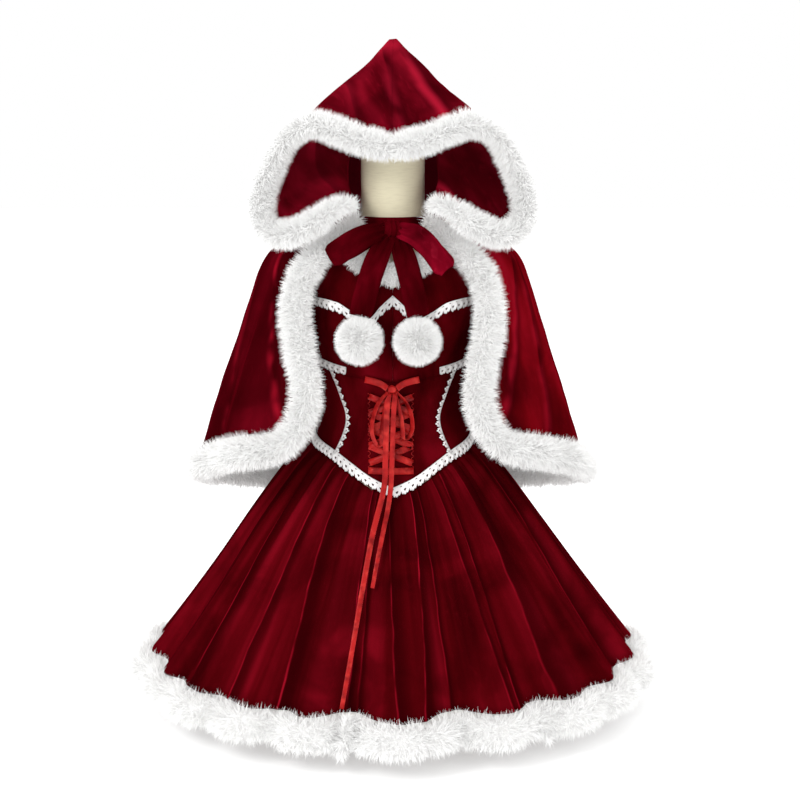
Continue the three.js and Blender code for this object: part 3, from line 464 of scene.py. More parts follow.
# Finishes
@dataclass(frozen=True)
class Velvet:
    """Pile cloth in a dark red tone that differs at random, with painted sheen highlights in streaks;
    where it has folds, painted crest highlights and painted shade beside them.
    """

    name: str
    # deep and body are the pile's darkest and usual colours, mixed at random; deep is also the painted
    # shade beside creases
    deep: Triple = (0.022, 0.0002, 0.0009)
    body: Triple = (0.078, 0.0008, 0.0026)
    # light is the painted highlight colour, and shine how much of it the painted sheen streaks take
    light: Triple = (0.3, 0.005, 0.016)
    streaks: float = 26.0
    stretch: float = 3.0
    shine: float = 0.4
    # folds, crest, top and drop place the painted creases; crest is the painted highlight line's width
    # in degrees
    folds: tuple[Fold, ...] = ()
    crest: float = 0.42
    top: float = SKIRT_TOP
    drop: float = SKIRT_DROP
    # glow: a faint painted glow that lifts the shade
    glow: Triple = (0.0, 0.0, 0.0)

    def creases(self, shader: Shader, cloth: Value) -> tuple[Value, Value]:
        """Paint the main creases: a painted highlight line along each crest and painted shade beside
        it.

        Args:
            shader: the shader.
            cloth: the point on the cloth.

        Returns:
            The painted highlight line on each crest, and the painted shade beside it.
        """
        turn = shader.axis(cloth, "X") * math.degrees(1 / ARC)
        t = (self.top - shader.axis(cloth, "Y")) / self.drop
        wander = (shader.noise(cloth, 11.0, 2.0) - 0.5) * 3.0
        line = shade = t * 0.0
        for fold in self.folds:
            # painted highlight along each crest, painted shade to one side of it
            past = turn + wander - fold.at(t)
            line = line + (1.0 - past.size().between(0.0, self.crest)) * (fold.height * 0.27)
            shade = shade + past.between(-0.1, 0.7) * (1.0 - past.between(0.5, fold.shade))
        fade = shader.noise(cloth, 16.0, 2.0).between(0.35, 0.6)
        return line * fade * t.between(-0.05, 0.12), shade * t.between(0.0, 0.2)

    def material(self) -> bpy.types.Material:
        """Build the velvet's material.

        Returns:
            The material.
        """
        shader = Shader(self.name)
        cloth = shader.cloth()
        place = shader.place()
        streak = shader.noise(shader.stretched(cloth, self.streaks, self.stretch, 1.0), 1.0, 3.0, 0.4)
        patch = shader.noise(place, 8.0, 3.0, 0.8)
        crush = shader.noise(shader.stretched(cloth, 110.0, 50.0, 1.0), 1.0, 3.0, 1.2)
        pile = shader.noise(place, 1500.0, 2.0)
        # painted sheen: noise streaks and patches, with the crushed pile, turn the colour towards the
        # painted highlight colour
        painted_sheen = streak.between(0.42, 0.72) * (0.25 + 0.75 * patch.between(0.4, 0.7))
        painted_sheen = painted_sheen + crush.between(0.5, 0.9) * 0.2
        tone = patch.between(0.3, 0.65) * 0.55 + 0.45 * streak.between(0.3, 0.6)
        colour = shader.blend(painted_sheen * self.shine, shader.blend(tone, self.deep, self.body), self.light)
        if self.folds:
            line, shade = self.creases(shader, cloth)
            # painted shade beside each crest, then the painted highlight line on it
            colour = shader.blend(line, shader.blend(shade * 0.8, colour, self.deep), self.light)
        return shader.finish({
            "Base Color": colour,
            "Roughness": 0.5 + 0.3 * crush,
            "Normal": shader.bump(crush * 0.5 + pile * 0.5, 0.3, 0.0012),
            "Specular IOR Level": 0.0,
            "Sheen Weight": 0.22,
            "Sheen Roughness": 0.25,
            "Sheen Tint": (0.7, 0.004, 0.03),
            # painted glow, where glow is set
            "Emission Color": self.glow,
            "Emission Strength": 1.0,
        })


@dataclass(frozen=True)
class Satin:
    """Smooth bright ribbon with a faint thread across it, darker and lighter in patches laid by noise,
    with painted highlights.
    """

    name: str
    deep: Triple = (0.17, 0.001, 0.002)
    body: Triple = (0.4, 0.009, 0.009)
    # light: the painted highlight colour
    light: Triple = (0.64, 0.04, 0.03)

    def material(self) -> bpy.types.Material:
        """Build the satin's material.

        Returns:
            The material.
        """
        shader = Shader(self.name)
        place = shader.place()
        wave = shader.noise(place, 70.0, 2.0)
        tone = shader.blend(shader.noise(place, 42.0, 2.0).between(0.3, 0.6), self.deep, self.body)
        thread = shader.noise(shader.stretched(place, 2600.0, 2600.0, 500.0), 1.0, 1.0)
        return shader.finish({
            # painted highlights where the wave noise is high
            "Base Color": shader.blend(wave.between(0.45, 0.75) * 0.6, tone, self.light),
            "Roughness": 0.26 + 0.16 * thread,
            "Normal": shader.bump(thread, 0.15, 0.0003),
            "Specular IOR Level": 0.35,
            "Specular Tint": (1.0, 0.4, 0.4),
        })


@dataclass(frozen=True)
class LaceThread:
    """White cotton lace. Its map runs 1 for each scallop along it, and 0 to 1 down it."""

    name: str
    body: Triple = (0.93, 0.92, 0.91)
    slots: bool = True

    def material(self) -> bpy.types.Material:
        """Build the lace's material.

        Returns:
            The material.
        """
        shader = Shader(self.name)
        cloth = shader.cloth()
        along = shader.axis(cloth, "X")
        down = shader.axis(cloth, "Y")
        cell = (along.fraction() - 0.5).size()
        eyelet = ((cell * 2.6) ** 2.0 + ((down - 0.66) * 4.6) ** 2.0).between(0.12, 0.22)
        gap = (((along + 0.5).fraction() - 0.5).size() * 3.6) ** 2.0 + ((down - 0.3) * 8.0) ** 2.0
        holes = eyelet * gap.between(0.16, 0.3) if self.slots else eyelet
        place = shader.place()
        thread = shader.noise(place, 1400.0, 2.0)
        return shader.finish({
            "Base Color": shader.blend(thread.between(0.4, 0.8) * 0.5, self.body, (0.7, 0.64, 0.65)),
            "Roughness": 0.8 + 0.1 * thread,
            "Normal": shader.bump(thread, 0.5, 0.0006),
            "Alpha": holes,
        })


@dataclass(frozen=True)
class Pile:
    """Long white fur, painted greyer towards the roots as shade deep in the pile, with a faint painted
    glow.
    """

    name: str
    # root: the painted shade colour at the roots
    root: Triple = (0.8, 0.795, 0.79)
    tip: Triple = (0.955, 0.955, 0.95)

    def material(self) -> bpy.types.Material:
        """Build the fur's material.

        Returns:
            The material.
        """
        shader = Shader(self.name)
        reach = shader.node("ShaderNodeAttribute", {"attribute_name": REACH}, None, "Fac")
        place = shader.place()
        tuft = shader.noise(place, 75.0, 3.0, 0.5)
        hair = shader.noise(place, 700.0, 2.0)
        # painted shade: greyer towards the roots, with random tufts
        share = reach.between(0.0, 0.55) * 0.75 + tuft.between(0.3, 0.7) * 0.25
        return shader.finish({
            "Base Color": shader.blend(share, self.root, self.tip),
            "Roughness": 0.85 + 0.1 * hair,
            "Normal": shader.bump(tuft * 0.6 + hair * 0.4, 0.4, 0.002),
            "Specular IOR Level": 0.15,
            # a faint painted white glow that lifts the shade between locks
            "Emission Color": (1.0, 1.0, 0.99),
            "Emission Strength": 0.055,
        })


@dataclass(frozen=True)
class Linen:
    """The cream cover of the dress form."""

    name: str
    body: Triple = (0.83, 0.77, 0.56)
    thread: Triple = (0.66, 0.6, 0.42)
    pitch: float = 5200.0

    def material(self) -> bpy.types.Material:
        """Build the linen's material.

        Returns:
            The material.
        """
        shader = Shader(self.name)
        place = shader.place()
        around = shader.axis(place, "X") + shader.axis(place, "Y") * 0.7
        warp = (around * self.pitch).wave()
        weft = (shader.axis(place, "Z") * self.pitch).wave()
        slub = shader.noise(shader.stretched(place, 60.0, 60.0, 500.0), 1.0, 3.0)
        weave = warp * weft * 0.5 + 0.5
        stain = shader.noise(place, 14.0, 3.0)
        share = weave * 0.25 + slub.between(0.4, 0.8) * 0.4 + stain.between(0.5, 0.8) * 0.25
        return shader.finish({
            "Base Color": shader.blend(share, self.body, self.thread),
            "Roughness": 0.85 + 0.1 * slub,
            "Normal": shader.bump(weave * 0.6 + slub * 0.4, 0.3, 0.0005),
            "Sheen Weight": 0.15,
        })


@dataclass(frozen=True)
class Plain:
    """A plain matte surface for the studio."""

    name: str
    body: Triple
    glow: float

    def material(self) -> bpy.types.Material:
        """Build the surface's material.

        Returns:
            The material.
        """
        return Shader(self.name).finish({
            "Base Color": self.body,
            "Roughness": 0.95,
            "Specular IOR Level": 0.0,
            "Emission Color": (1.0, 1.0, 1.0),
            "Emission Strength": self.glow,
        })


class Slot(Enum):
    """The record's material slots."""

    LINEN = "linen"
    VELVET = "velvet"
    CAPE = "cape_velvet"
    LACE = "lace"
    SATIN = "satin"
    FUR = "fur"


# Mesh tools
Move = Callable[[Vector, Vector], Vector]


def finished(name: str, form: bmesh.types.BMesh, material: bpy.types.Material) -> bpy.types.Object:
    """Turn a bmesh into a shown object at the origin.

    Args:
        name: the object's name.
        form: the bmesh, freed here.
        material: its material.

    Returns:
        The object.
    """
    mesh = bpy.data.meshes.new(name)
    form.to_mesh(mesh)
    form.free()
    mesh.materials.append(material)
    mesh.polygons.foreach_set("use_smooth", [True] * len(mesh.polygons))
    made = bpy.data.objects.new(name, mesh)
    bpy.context.scene.collection.objects.link(made)
    return made


def applied(piece: bpy.types.Object) -> bpy.types.Object:
    """Make a piece's modifiers part of its mesh.

    Args:
        piece: the object.

    Returns:
        The same object with a plain mesh.
    """
    graph = bpy.context.evaluated_depsgraph_get()
    mesh = bpy.data.meshes.new_from_object(piece.evaluated_get(graph), depsgraph=graph)
    piece.modifiers.clear()
    old = piece.data
    piece.data = mesh
    bpy.data.meshes.remove(old)
    return piece


def thicken(piece: bpy.types.Object, thickness: float) -> bpy.types.Object:
    """Give a sheet its thickness.

    Args:
        piece: the sheet.
        thickness: in metres.

    Returns:
        The same object.
    """
    wall = piece.modifiers.new("wall", "SOLIDIFY")
    wall.thickness = thickness
    wall.offset = 0.0
    return applied(piece)


def from_solid(
    node: bpy.types.Object,
    name: str,
    material: bpy.types.Material,
    levels: int,
    sharp: float = 50.0,
    regain: float = 0.9,
) -> bpy.types.Object:
    """Copy a solid of the frame as a smooth piece whose edges stay crisp.

    Args:
        node: the frame's object.
        name: the new piece's name.
        material: its material.
        levels: subdivisions.
        sharp: edges that turn more than this, in degrees, stay.
        regain: how much of what smoothing takes off the corners is put back first.

    Returns:
        The new piece, with its subdivisions applied.
    """
    form = bmesh.new()
    form.from_mesh(node.data)
    bmesh.ops.remove_doubles(form, verts=form.verts, dist=0.00002)
    bmesh.ops.join_triangles(
        form,
        faces=form.faces,
        angle_face_threshold=math.radians(50.0),
        angle_shape_threshold=math.radians(70.0),
    )
    crease = form.edges.layers.float.new("crease_edge")
    for edge in form.edges:
        if len(edge.link_faces) == 2 and edge.calc_face_angle() > math.radians(sharp):
            edge[crease] = 1.0
    piece = finished(name, form, material)
    smooth = piece.modifiers.new("smooth", "SUBSURF")
    smooth.levels = levels
    smooth.render_levels = levels
    graph = bpy.context.evaluated_depsgraph_get()
    rounded = piece.evaluated_get(graph).data
    drawn_in = [
        vertex.co - rounded.vertices[vertex.index].co for vertex in piece.data.vertices
    ]
    for vertex, lost in zip(piece.data.vertices, drawn_in):
        vertex.co += lost * regain
    return applied(piece)


def reshape(piece: bpy.types.Object, move: Move) -> None:
    """Move each vertex of a piece.

    Args:
        piece: the object.
        move: takes a vertex's place and its normal, and returns its new place.
    """
    mesh = piece.data
    normals = [vertex.normal.copy() for vertex in mesh.vertices]
    for vertex, normal in zip(mesh.vertices, normals):
        vertex.co = move(vertex.co.copy(), normal)
    mesh.update()


def lay_map(piece: bpy.types.Object, spread: Callable[[Vector], tuple[float, float]]) -> None:
    """Give a piece the map that its cloth pattern follows.

    Args:
        piece: the object.
        spread: takes a place and returns the distance along both threads.
    """
    mesh = piece.data
    layer = mesh.uv_layers.get(CLOTH_MAP) or mesh.uv_layers.new(name=CLOTH_MAP)
    at = [spread(vertex.co) for vertex in mesh.vertices]
    for loop in mesh.loops:
        layer.data[loop.index].uv = at[loop.vertex_index]


def grid(columns: int, rows: int, place: Callable[[float, float], Vector]) -> bmesh.types.BMesh:
    """Make a grid and lay it in space, with its map.

    Args:
        columns: faces along u.
        rows: faces along v.
        place: takes u and v from 0 to 1 and returns a point in metres.

    Returns:
        The bmesh.
    """
    form = bmesh.new()
    form.loops.layers.uv.new(CLOTH_MAP)
    bmesh.ops.create_grid(form, x_segments=columns, y_segments=rows, size=0.5, calc_uvs=True)
    for vertex in form.verts:
        vertex.co = place(vertex.co.x + 0.5, vertex.co.y + 0.5)
    return form


def angle_of(place: Vector) -> float:
    """Return a point's angle from the front, in degrees, as on the round hem."""
    return math.degrees(math.atan2(place.x / 1.1, -place.y))


def around(place: Vector) -> tuple[float, float]:
    """Spread a point round the middle of its half, front or back.

    Args:
        place: the point, in metres.

    Returns:
        Its arc and its height, in metres.
    """
    turn = math.atan2(place.x, -place.y)
    if abs(turn) > math.pi / 2:
        turn = math.copysign(math.pi - abs(turn), turn) * -1.0
    return turn * ARC, place.z


def hood_brow(place: Vector) -> float:
    """Return how far the hood's front stands up over both temples at a point, in metres."""
    front, high = clamp((0.02 - place.y) / 0.08), clamp((place.z - 0.86) / 0.03)
    return 0.013 * bell((abs(place.x) - 0.115) / 0.055) * front * high


def declare(piece: bpy.types.Object, slot: Slot, nodes: Iterable[str]) -> bpy.types.Object:
    """Let a piece ride and stand for its solids.

    Args:
        piece: the object.
        slot: the record's material slot; not used.
        nodes: the solids that it replaces.

    Returns:
        The same object.
    """
    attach(piece, "root")
    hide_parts(*nodes)
    LOG.info("%s: %d faces", piece.name, len(piece.data.polygons))
    return piece


@dataclass(frozen=True)
class Cut:
    """The flat cut of a sheet: its width, length and area, in metres."""

    width: float
    length: float
    area: float
    held: str = "draped"

    def state(self, piece: bpy.types.Object, *rests_on: str) -> None:
        """Take a piece as a sheet of this cut; nothing is done with it.

        Args:
            piece: the sheet; not used.
            rests_on: what it lies on or hangs from; not used.
        """


def half_area(piece: bpy.types.Object) -> float:
    """Return the area of one side of a closed sheet, in square metres."""
    return sum(face.area for face in piece.data.polygons) / 2


@dataclass(frozen=True)
class Station:
    """A place along a ribbon's middle, in millimetres."""

    x: float
    y: float
    z: float
    width: float


@dataclass
class Ribbon:
    """A soft strip that runs through its stations and puckers where it leaves the knot."""

    stations: Sequence[Station]
    across: Vector
    thickness: float = 2.0
    pucker: float = 2.4
    both_ends: bool = False
    columns: int = 16
    rows: int = 44

    def build(self, name: str, cloth: bpy.types.Material) -> bpy.types.Object:
        """Build the strip.

        Args:
            name: its name.
            cloth: its material.

        Returns:
            The object, with the cloth's map in metres.
        """
        last = len(self.stations) - 1
        middle = [
            Curve([(i, getattr(station, axis)) for i, station in enumerate(self.stations)])
            for axis in ("x", "y", "z")
        ]
        width = Curve([(i, station.width) for i, station in enumerate(self.stations)])

        def at(s: float) -> Vector:
            """Return the middle line's point."""
            return Vector([curve(s) for curve in middle])

        def place(u: float, v: float) -> Vector:
            """Lay the strip round its middle line.

            Args:
                u: across, from 0 to 1.
                v: along, from 0 to 1.

            Returns:
                The point.
            """
            s = v * last
            along = (at(min(s + 0.15, last)) - at(max(s - 0.15, 0.0))).normalized()
            side = (self.across - along * self.across.dot(along)).normalized()
            face = along.cross(side)
            near = math.exp(-s * 1.1) + (math.exp((s - last) * 1.1) if self.both_ends else 0.0)
            fold = math.sin(u * 17 + 1.5 * math.sin(s * 1.3)) * self.pucker * near
            curl = ((2 * u - 1) ** 2 - 0.4) * 1.6 + 1.1 * ripple(u * 2.1, s * 0.9, self.stations[0].x)
            curl *= width(s) / 36
            return (at(s) + side * (u - 0.5) * width(s) + face * (fold + curl)) * MM

        piece = finished(name, grid(self.columns, self.rows, place), cloth)
        longest = sum((at(i + 1) - at(i)).length for i in range(last)) * MM
        for loop in piece.data.uv_layers[CLOTH_MAP].data:
            loop.uv = (loop.uv.x * self.stations[last // 2].width * MM, loop.uv.y * longest)
        return thicken(piece, self.thickness * MM)


# Sub-assemblies
@dataclass
class Part:
    """A sub-assembly that is built from the frame's objects in a cloth of its own."""

    nodes: dict[str, bpy.types.Object]
    cloth: bpy.types.Material

    def piece(self, node: str, kind: str, levels: int) -> bpy.types.Object:
        """Copy a solid as a smooth piece that is named for its kind and its solid."""
        return from_solid(self.nodes[node], f"{kind}_{node}", self.cloth, levels)


@dataclass
class DressForm(Part):
    """The limbless form under the costume."""

    seam_z: float = 0.797
    top_z: float = 0.888
    seam_depth: float = 0.0014
    wrinkle_depth: float = 0.0012
    bare_z: float = 0.77
    sharp: float = 70.0

    def settled(self, place: Vector, normal: Vector) -> Vector:
        """Press the seams in and let the cover wrinkle a little.

        Args:
            place: a vertex's place.
            normal: its normal.

        Returns:
            Its new place.
        """
        seam = bell((place.z - self.seam_z) / 0.0022) + bell((place.z - self.top_z) / 0.002)
        wrinkle = self.wrinkle_depth * ripple(place.x * 30, place.y * 30, place.z * 55)
        near = 1.0 if place.z > self.bare_z else 0.2
        return place + normal * (wrinkle * near - self.seam_depth * seam)

    def build(self) -> None:
        """Build the form."""
        piece = from_solid(self.nodes["dress_form"], "form_cover", self.cloth, 1, self.sharp)
        reshape(piece, self.settled)
        declare(piece, Slot.LINEN, ["dress_form"])


@dataclass
class Bodice(Part):
    """The dress above the waist: its panels and its lace."""

    crease_depth: float = 0.0006
    scallop: float = 10.5
    scallop_depth: float = 5.6
    petal_depth: float = 2.6
    edge: float = 7.6
    lace_thickness: float = 0.0006
    cut_width: float = 1.3
    cut_length: float = 1.15
    seams: float = 0.02
    least_fill: float = 0.31

    def wrinkled(self, place: Vector, _normal: Vector) -> Vector:
        """Press soft creases into the cloth.

        Args:
            place: a vertex's place.

        Returns:
            Its new place.
        """
        outward = Vector((place.x, place.y, 0.0)).normalized()
        crease = ripple(place.x * 22, place.y * 22, place.z * 70) * self.crease_depth
        return place + outward * crease

    def panels(self) -> None:
        """Build the velvet panels."""
        names = ["centre_panel"]
        for side in ("left", "right"):
            names += [f"{part}_{side}" for part in ("cup", "yoke", "side_panel", "back", "strap")]
        for name in names:
            piece = self.piece(name, "velvet", 2)

            reshape(piece, self.wrinkled)
            lay_map(piece, around)
            declare(piece, Slot.VELVET, [name])
            width = max(piece.dimensions.x, piece.dimensions.y) * self.cut_width
            length = piece.dimensions.z * self.cut_length + self.seams
            area = min(max(half_area(piece), self.least_fill * width * length), width * length)
            Cut(width, length, area, "stretched").state(piece, "form_cover")

    def strip(
        self,
        name: str,
        node: str,
        line: Callable[[float], tuple[float, float, float]],
        length: float,
        drop: float,
        lace: bpy.types.Material,
    ) -> bpy.types.Object:
        """Build a scalloped lace strip on the bodice.

        Args:
            name: the piece's name.
            node: the solid that it replaces.
            line: takes 0 to 1 and returns the angle, the height and the turn of the drop.
            length: about how long the strip is, in millimetres.
            drop: its width in millimetres.
            lace: its material.

        Returns:
            The piece.
        """
        count = max(round(length / self.scallop), 4)

        def place(u: float, v: float) -> Vector:
            """Lay the strip, its lower edge in scallops that stand off a little.

            Args:
                u: along, from 0 to 1.
                v: down, from 0 to 1.

            Returns:
                The point.
            """
            angle, z, turn = line(u)
            phase = (u * count) % 1.0
            scallop = math.sin(math.pi * phase) ** 0.8 * self.scallop_depth
            scallop += abs(math.sin(3 * math.pi * phase)) ** 0.6 * self.petal_depth
            uneven = 0.86 + 0.14 * math.sin(7.0 * int(u * count))
            reach = v * (drop - self.edge) + scallop * uneven * v * v
            sideways = math.degrees(reach * math.sin(turn) / FIGURE.half(z))
            out = BODICE_OUT + LACE_LIFT + 0.4 + v * (math.cos(math.tau * u * count) + 2.2)
            return FIGURE.out(angle + sideways, z - reach * math.cos(turn), out)

        form = grid(count * 12, 4, place)
        layer = form.loops.layers.uv.verify()
        for face in form.faces:
            for loop in face.loops:
                loop[layer].uv.x *= count
        piece = thicken(finished(name, form, lace), self.lace_thickness)
        return declare(piece, Slot.LACE, [node])

    def lace(self, thread: LaceThread, plain: LaceThread) -> None:
        """Build the lace.

        Args:
            thread: the beading lace.
            plain: the narrow lace with no slots.
        """
        beaded, narrow = thread.material(), plain.material()

        def across(height: Curve, rise: float) -> Callable[[float], tuple[float, float, float]]:
            """Return a line round the front at a seam's height."""
            return lambda u: (mix(-88.0, 88.0, u), height(abs(mix(-88.0, 88.0, u))) + rise, 0.0)

        self.strip("cups_lace", "lace_cups", across(CUPS, 4.0), 420.0, 15.0, beaded)
        self.strip("waist_lace", "lace_waist", across(WAIST, 16.5), 380.0, 17.5, beaded)
        for side, sign in (("left", -1.0), ("right", 1.0)):
            def beside(u: float, sign: float = sign) -> tuple[float, float, float]:
                """Return the line beside the centre panel."""
                z = mix(422.0, 558.0, u)
                return sign * (PRINCESS(z) + 2.6), z, -sign * math.pi / 2

            def under(u: float, sign: float = sign) -> tuple[float, float, float]:
                """Return the line under one cup."""
                angle = mix(33.0, 88.0, u)
                return sign * angle, UNDERBUST(angle) + 14.0, 0.0

            self.strip(f"princess_lace_{side}", f"lace_princess_{side}", beside, 130.0, 10.0, narrow)
            self.strip(f"underbust_lace_{side}", f"lace_underbust_{side}", under, 120.0, 14.0, beaded)


@dataclass
class Lacing(Part):
    """The satin lacing of the centre panel with its bow and tails."""

    knot_x: float = -1.0
    knot_z: float = 537.0
    bow_out: float = 12.0
    wave: float = 0.0006
    loop_radius: float = 4.2
    cord_radius: float = 0.45
    half: float = 33.0
    middle: float = -3.0
    low: float = 400.0
    high: float = 526.0

    def waved(self, place: Vector, _normal: Vector) -> Vector:
        """Let a ribbon wave a little."""
        return place + Vector((0.0, self.wave * ripple(place.x * 90, 0.0, place.z * 60), 0.0))

    def ribbons(self) -> None:
        """Build the ribbons from their solids."""
        names = ["lacing_under", "lacing_over", "lacing_bar", "satin_knot"]
        names += ["satin_end_left", "satin_end_right", "satin_tail_long", "satin_tail_short"]
        for name in names:
            piece = self.piece(name, "ribbon", 2 if name.startswith("satin") else 1)
            reshape(piece, self.waved)
            declare(piece, Slot.SATIN, [name])
            if "tail" in name:
                length = 0.45 if "long" in name else 0.3
                Cut(0.01, length, 0.009 * length, "hung").state(piece, "ribbon_satin_knot")

    def loops(self) -> None:
        """Build the bow's two loops as soft ribbons that lie along their solids."""
        outline = [
            (4.8, -4.3, 0.0, 5.0), (19, -24, 0.0, 7.5), (27, -48, 0.0, 8.0), (29, -72, 0.0, 8.0),
            (23, -91, 0.5, 8.0), (16, -93, 3.5, 8.0), (14.5, -78, 5.0, 8.5), (12, -50, 5.0, 9.0),
            (7.5, -26, 4.0, 8.0), (4.0, -5.0, 1.5, 5.0),
        ]
        for side, sign, shrink in (("left", -1.0, 1.0), ("right", 1.0, 0.9)):
            stations = []
            for x, drop, lift, width in outline:
                across, z = self.knot_x + sign * x, self.knot_z + drop * shrink
                angle = math.degrees(math.asin(across / FIGURE.half(z)))
                place = FIGURE.out(angle, z, self.bow_out + lift) / MM
                stations.append(Station(place.x, place.y, place.z, width))
            ribbon = Ribbon(stations, Vector((0.8, -0.6, 0.0)), 0.6, 0.5, columns=4)
            piece = ribbon.build(f"ribbon_satin_loop_{side}", self.cloth)
            declare(piece, Slot.SATIN, [f"satin_loop_{side}"])

    def arc(self) -> bpy.types.Mesh:
        """Make half a ring of round cord, open towards -Z.

        Returns:
            Its mesh.
        """
        form = bmesh.new()
        bmesh.ops.create_circle(form, cap_ends=False, segments=5, radius=self.cord_radius * MM)
        bmesh.ops.translate(form, verts=form.verts, vec=(-self.loop_radius * MM * 0.85, 0.0, 0.0))
        geometry = [*form.edges, *form.verts]
        bmesh.ops.spin(form, geom=geometry, axis=(0.0, 1.0, 0.0), angle=math.pi, steps=7)
        bmesh.ops.holes_fill(form, edges=[edge for edge in form.edges if edge.is_boundary], sides=8)
        mesh = bpy.data.meshes.new("arc")
        form.to_mesh(mesh)
        form.free()
        return mesh

    def eyelets(self) -> None:
        """Build the rows of eyelet loops down both sides."""
        arc = self.arc()
        count = round((self.high - self.low) / (2 * self.loop_radius))
        for side, sign in (("left", -1.0), ("right", 1.0)):
            form = bmesh.new()
            inward, up = Vector((-sign, 0.0, 0.0)), Vector((0.0, 0.0, 1.0))
            turn = Matrix((up, inward.cross(up), inward)).transposed().to_4x4()
            across = self.middle + sign * (self.half + 1.5)
            for i in range(count):
                z = self.low + (i + 0.5) * (self.high - self.low) / count
                angle = math.degrees(math.asin(across / FIGURE.half(z)))
                centre = FIGURE.out(angle, z, BODICE_OUT + LACE_LIFT + 1.0)
                known = len(form.verts)
                form.from_mesh(arc)
                form.verts.ensure_lookup_table()
                seat = Matrix.Translation(centre) @ turn
                bmesh.ops.transform(form, matrix=seat, verts=form.verts[known:])
            bmesh.ops.recalc_face_normals(form, faces=form.faces)
            piece = finished(f"eyelet_loops_{side}", form, self.cloth)
            declare(piece, Slot.SATIN, [f"eyelet_tape_{side}"])
        bpy.data.meshes.remove(arc)


@dataclass
class Skirt(Part):
    """The gathered skirt. Each half's cut is its width and its length, in metres."""

    gathers: int = 58
    gather_depth: float = 0.0046
    fold_depth: float = 0.0008
    long_depth: float = 0.006
    fine_depth: float = 0.003
    hem_z: float = 0.086
    cut: tuple[float, float] = (1.4, 0.46)

    def share(self, place: Vector) -> float:
        """Return how far down the skirt a point is, from 0 at the waist to 1 at the hem."""
        top = WAIST(abs(angle_of(place))) * MM
        return clamp((top - place.z) / (top - self.hem_z))

    def gathered(self, place: Vector, _normal: Vector) -> Vector:
        """Press gathers and folds into the cloth.

        Args:
            place: a vertex's place.

        Returns:
            Its new place.
        """
        t = self.share(place)
        angle = angle_of(place)
        turn = math.radians(angle)
        ring = Vector((math.sin(turn), -math.cos(turn), 0.0))
        grip = min(t / 0.04, 1.0)
        wander = 0.9 * ripple(angle * 0.09, 0.0)
        phase = self.gathers * turn + 5.0 * wander + 0.8 * math.sin(angle * 0.35)
        pleat = (abs(math.sin(phase / 2)) ** 0.6 - 0.55) * self.gather_depth * grip * (1 - t) ** 2
        half_turn = math.degrees(around(place)[0] / ARC)
        main = 0.0
        for fold in SKIRT_FOLDS:
            past = half_turn - fold.at(t)
            main += fold.height * (math.exp(-abs(past) / 1.8) - 0.9 * bell((past - 3.5) / 2.6))
        main *= self.fold_depth * grip * (0.4 + t)
        x, y = math.sin(turn), math.cos(turn)
        long_fold = ripple(x * 7 + 3, y * 7, t * 0.7) * self.long_depth * t
        fine_fold = ripple(x * 24, y * 24 + 7, t * 1.2) * self.fine_depth * grip * (1 - 0.6 * t)
        return place + ring * (pleat + main + long_fold + fine_fold)

    def build(self) -> None:
        """Build both halves."""
        for node in ("skirt_front", "skirt_back"):
            piece = self.piece(node, "velvet", 2)
            reshape(piece, self.gathered)
            lay_map(piece, around)
            declare(piece, Slot.VELVET, [node])
            cut = Cut(*self.cut, half_area(piece), "gathered")
            cut.state(piece, "velvet_centre_panel", "velvet_back_left")


@dataclass
class Cape(Part):
    """The cape: three panels that hang from the neck.

    The two fronts are lit and shaded copies of one velvet: the right front's colour painted lit, the
    left one's painted in shade.
    """

    velvet: Velvet
    neck_z: float = 0.792
    drop: float = 0.38
    fold_depth: float = 0.006
    fine_depth: float = 0.0026
    crush_depth: float = 0.0011
    front_cut: tuple[float, float] = (0.36, 0.48)
    back_cut: tuple[float, float] = (0.72, 0.56)
    # bright and dark: body colours of the right front painted lit and of the left front painted in
    # shade; dark_shine is the shaded front's weaker painted sheen
    bright: Triple = (0.15, 0.0012, 0.0035)
    dark: Triple = (0.045, 0.0003, 0.002)
    dark_shine: float = 0.26

    def hung(self, place: Vector, _normal: Vector) -> Vector:
        """Press the soft folds of the hanging cloth.

        Args:
            place: a vertex's place.

        Returns:
            Its new place.
        """
        t = min(max((self.neck_z - place.z) / self.drop, 0.0), 1.2)
        turn = math.atan2(place.x, -place.y)
        x, y = math.sin(turn), math.cos(turn)
        fold = ripple(x * 6, y * 6, t * 0.8 + 4) * self.fold_depth * t
        fine = ripple(x * 17, y * 17, t * 1.7) * self.fine_depth * min(t * 3, 1.0)
        crush = ripple(*(place * 26)) * self.crush_depth * min(t * 4, 1.0)
        return place + Vector((x, -y, 0.0)) * (fold + fine + crush)

    def panel(
        self, node: str, cloth: bpy.types.Material, levels: int, cut: tuple[float, float],
    ) -> None:
        """Build one panel.

        Args:
            node: its solid.
            cloth: its material.
            levels: subdivisions.
            cut: its flat width and length, in metres.
        """
        piece = from_solid(self.nodes[node], f"velvet_{node}", cloth, levels)
        reshape(piece, self.hung)
        lay_map(piece, around)
        declare(piece, Slot.CAPE, [node])
        Cut(*cut, min(half_area(piece), cut[0] * cut[1])).state(piece, "form_cover")

    def front(self, side: str, body: Triple, shine: float) -> None:
        """Build one front panel, in a velvet of its own with painted crest highlights and shade.

        Args:
            side: left or right.
            body: its body colour, painted lit or in shade.
            shine: how strong its painted sheen highlights are.
        """
        velvet = replace(
            self.velvet, name=f"cape_velvet_{side}", body=body, shine=shine,
            folds=CAPE_PAINTED_CREASES[side], crest=2.6, top=self.neck_z, drop=self.drop,
        )
        self.panel(f"cape_front_{side}", velvet.material(), 3, self.front_cut)

    def build(self) -> None:
        """Build the panels."""
        # painted light and shade: the right front lit, the left front in shade
        self.front("right", self.bright, self.velvet.shine)
        self.panel("cape_back", self.cloth, 2, self.back_cut)
        self.front("left", self.dark, self.dark_shine)


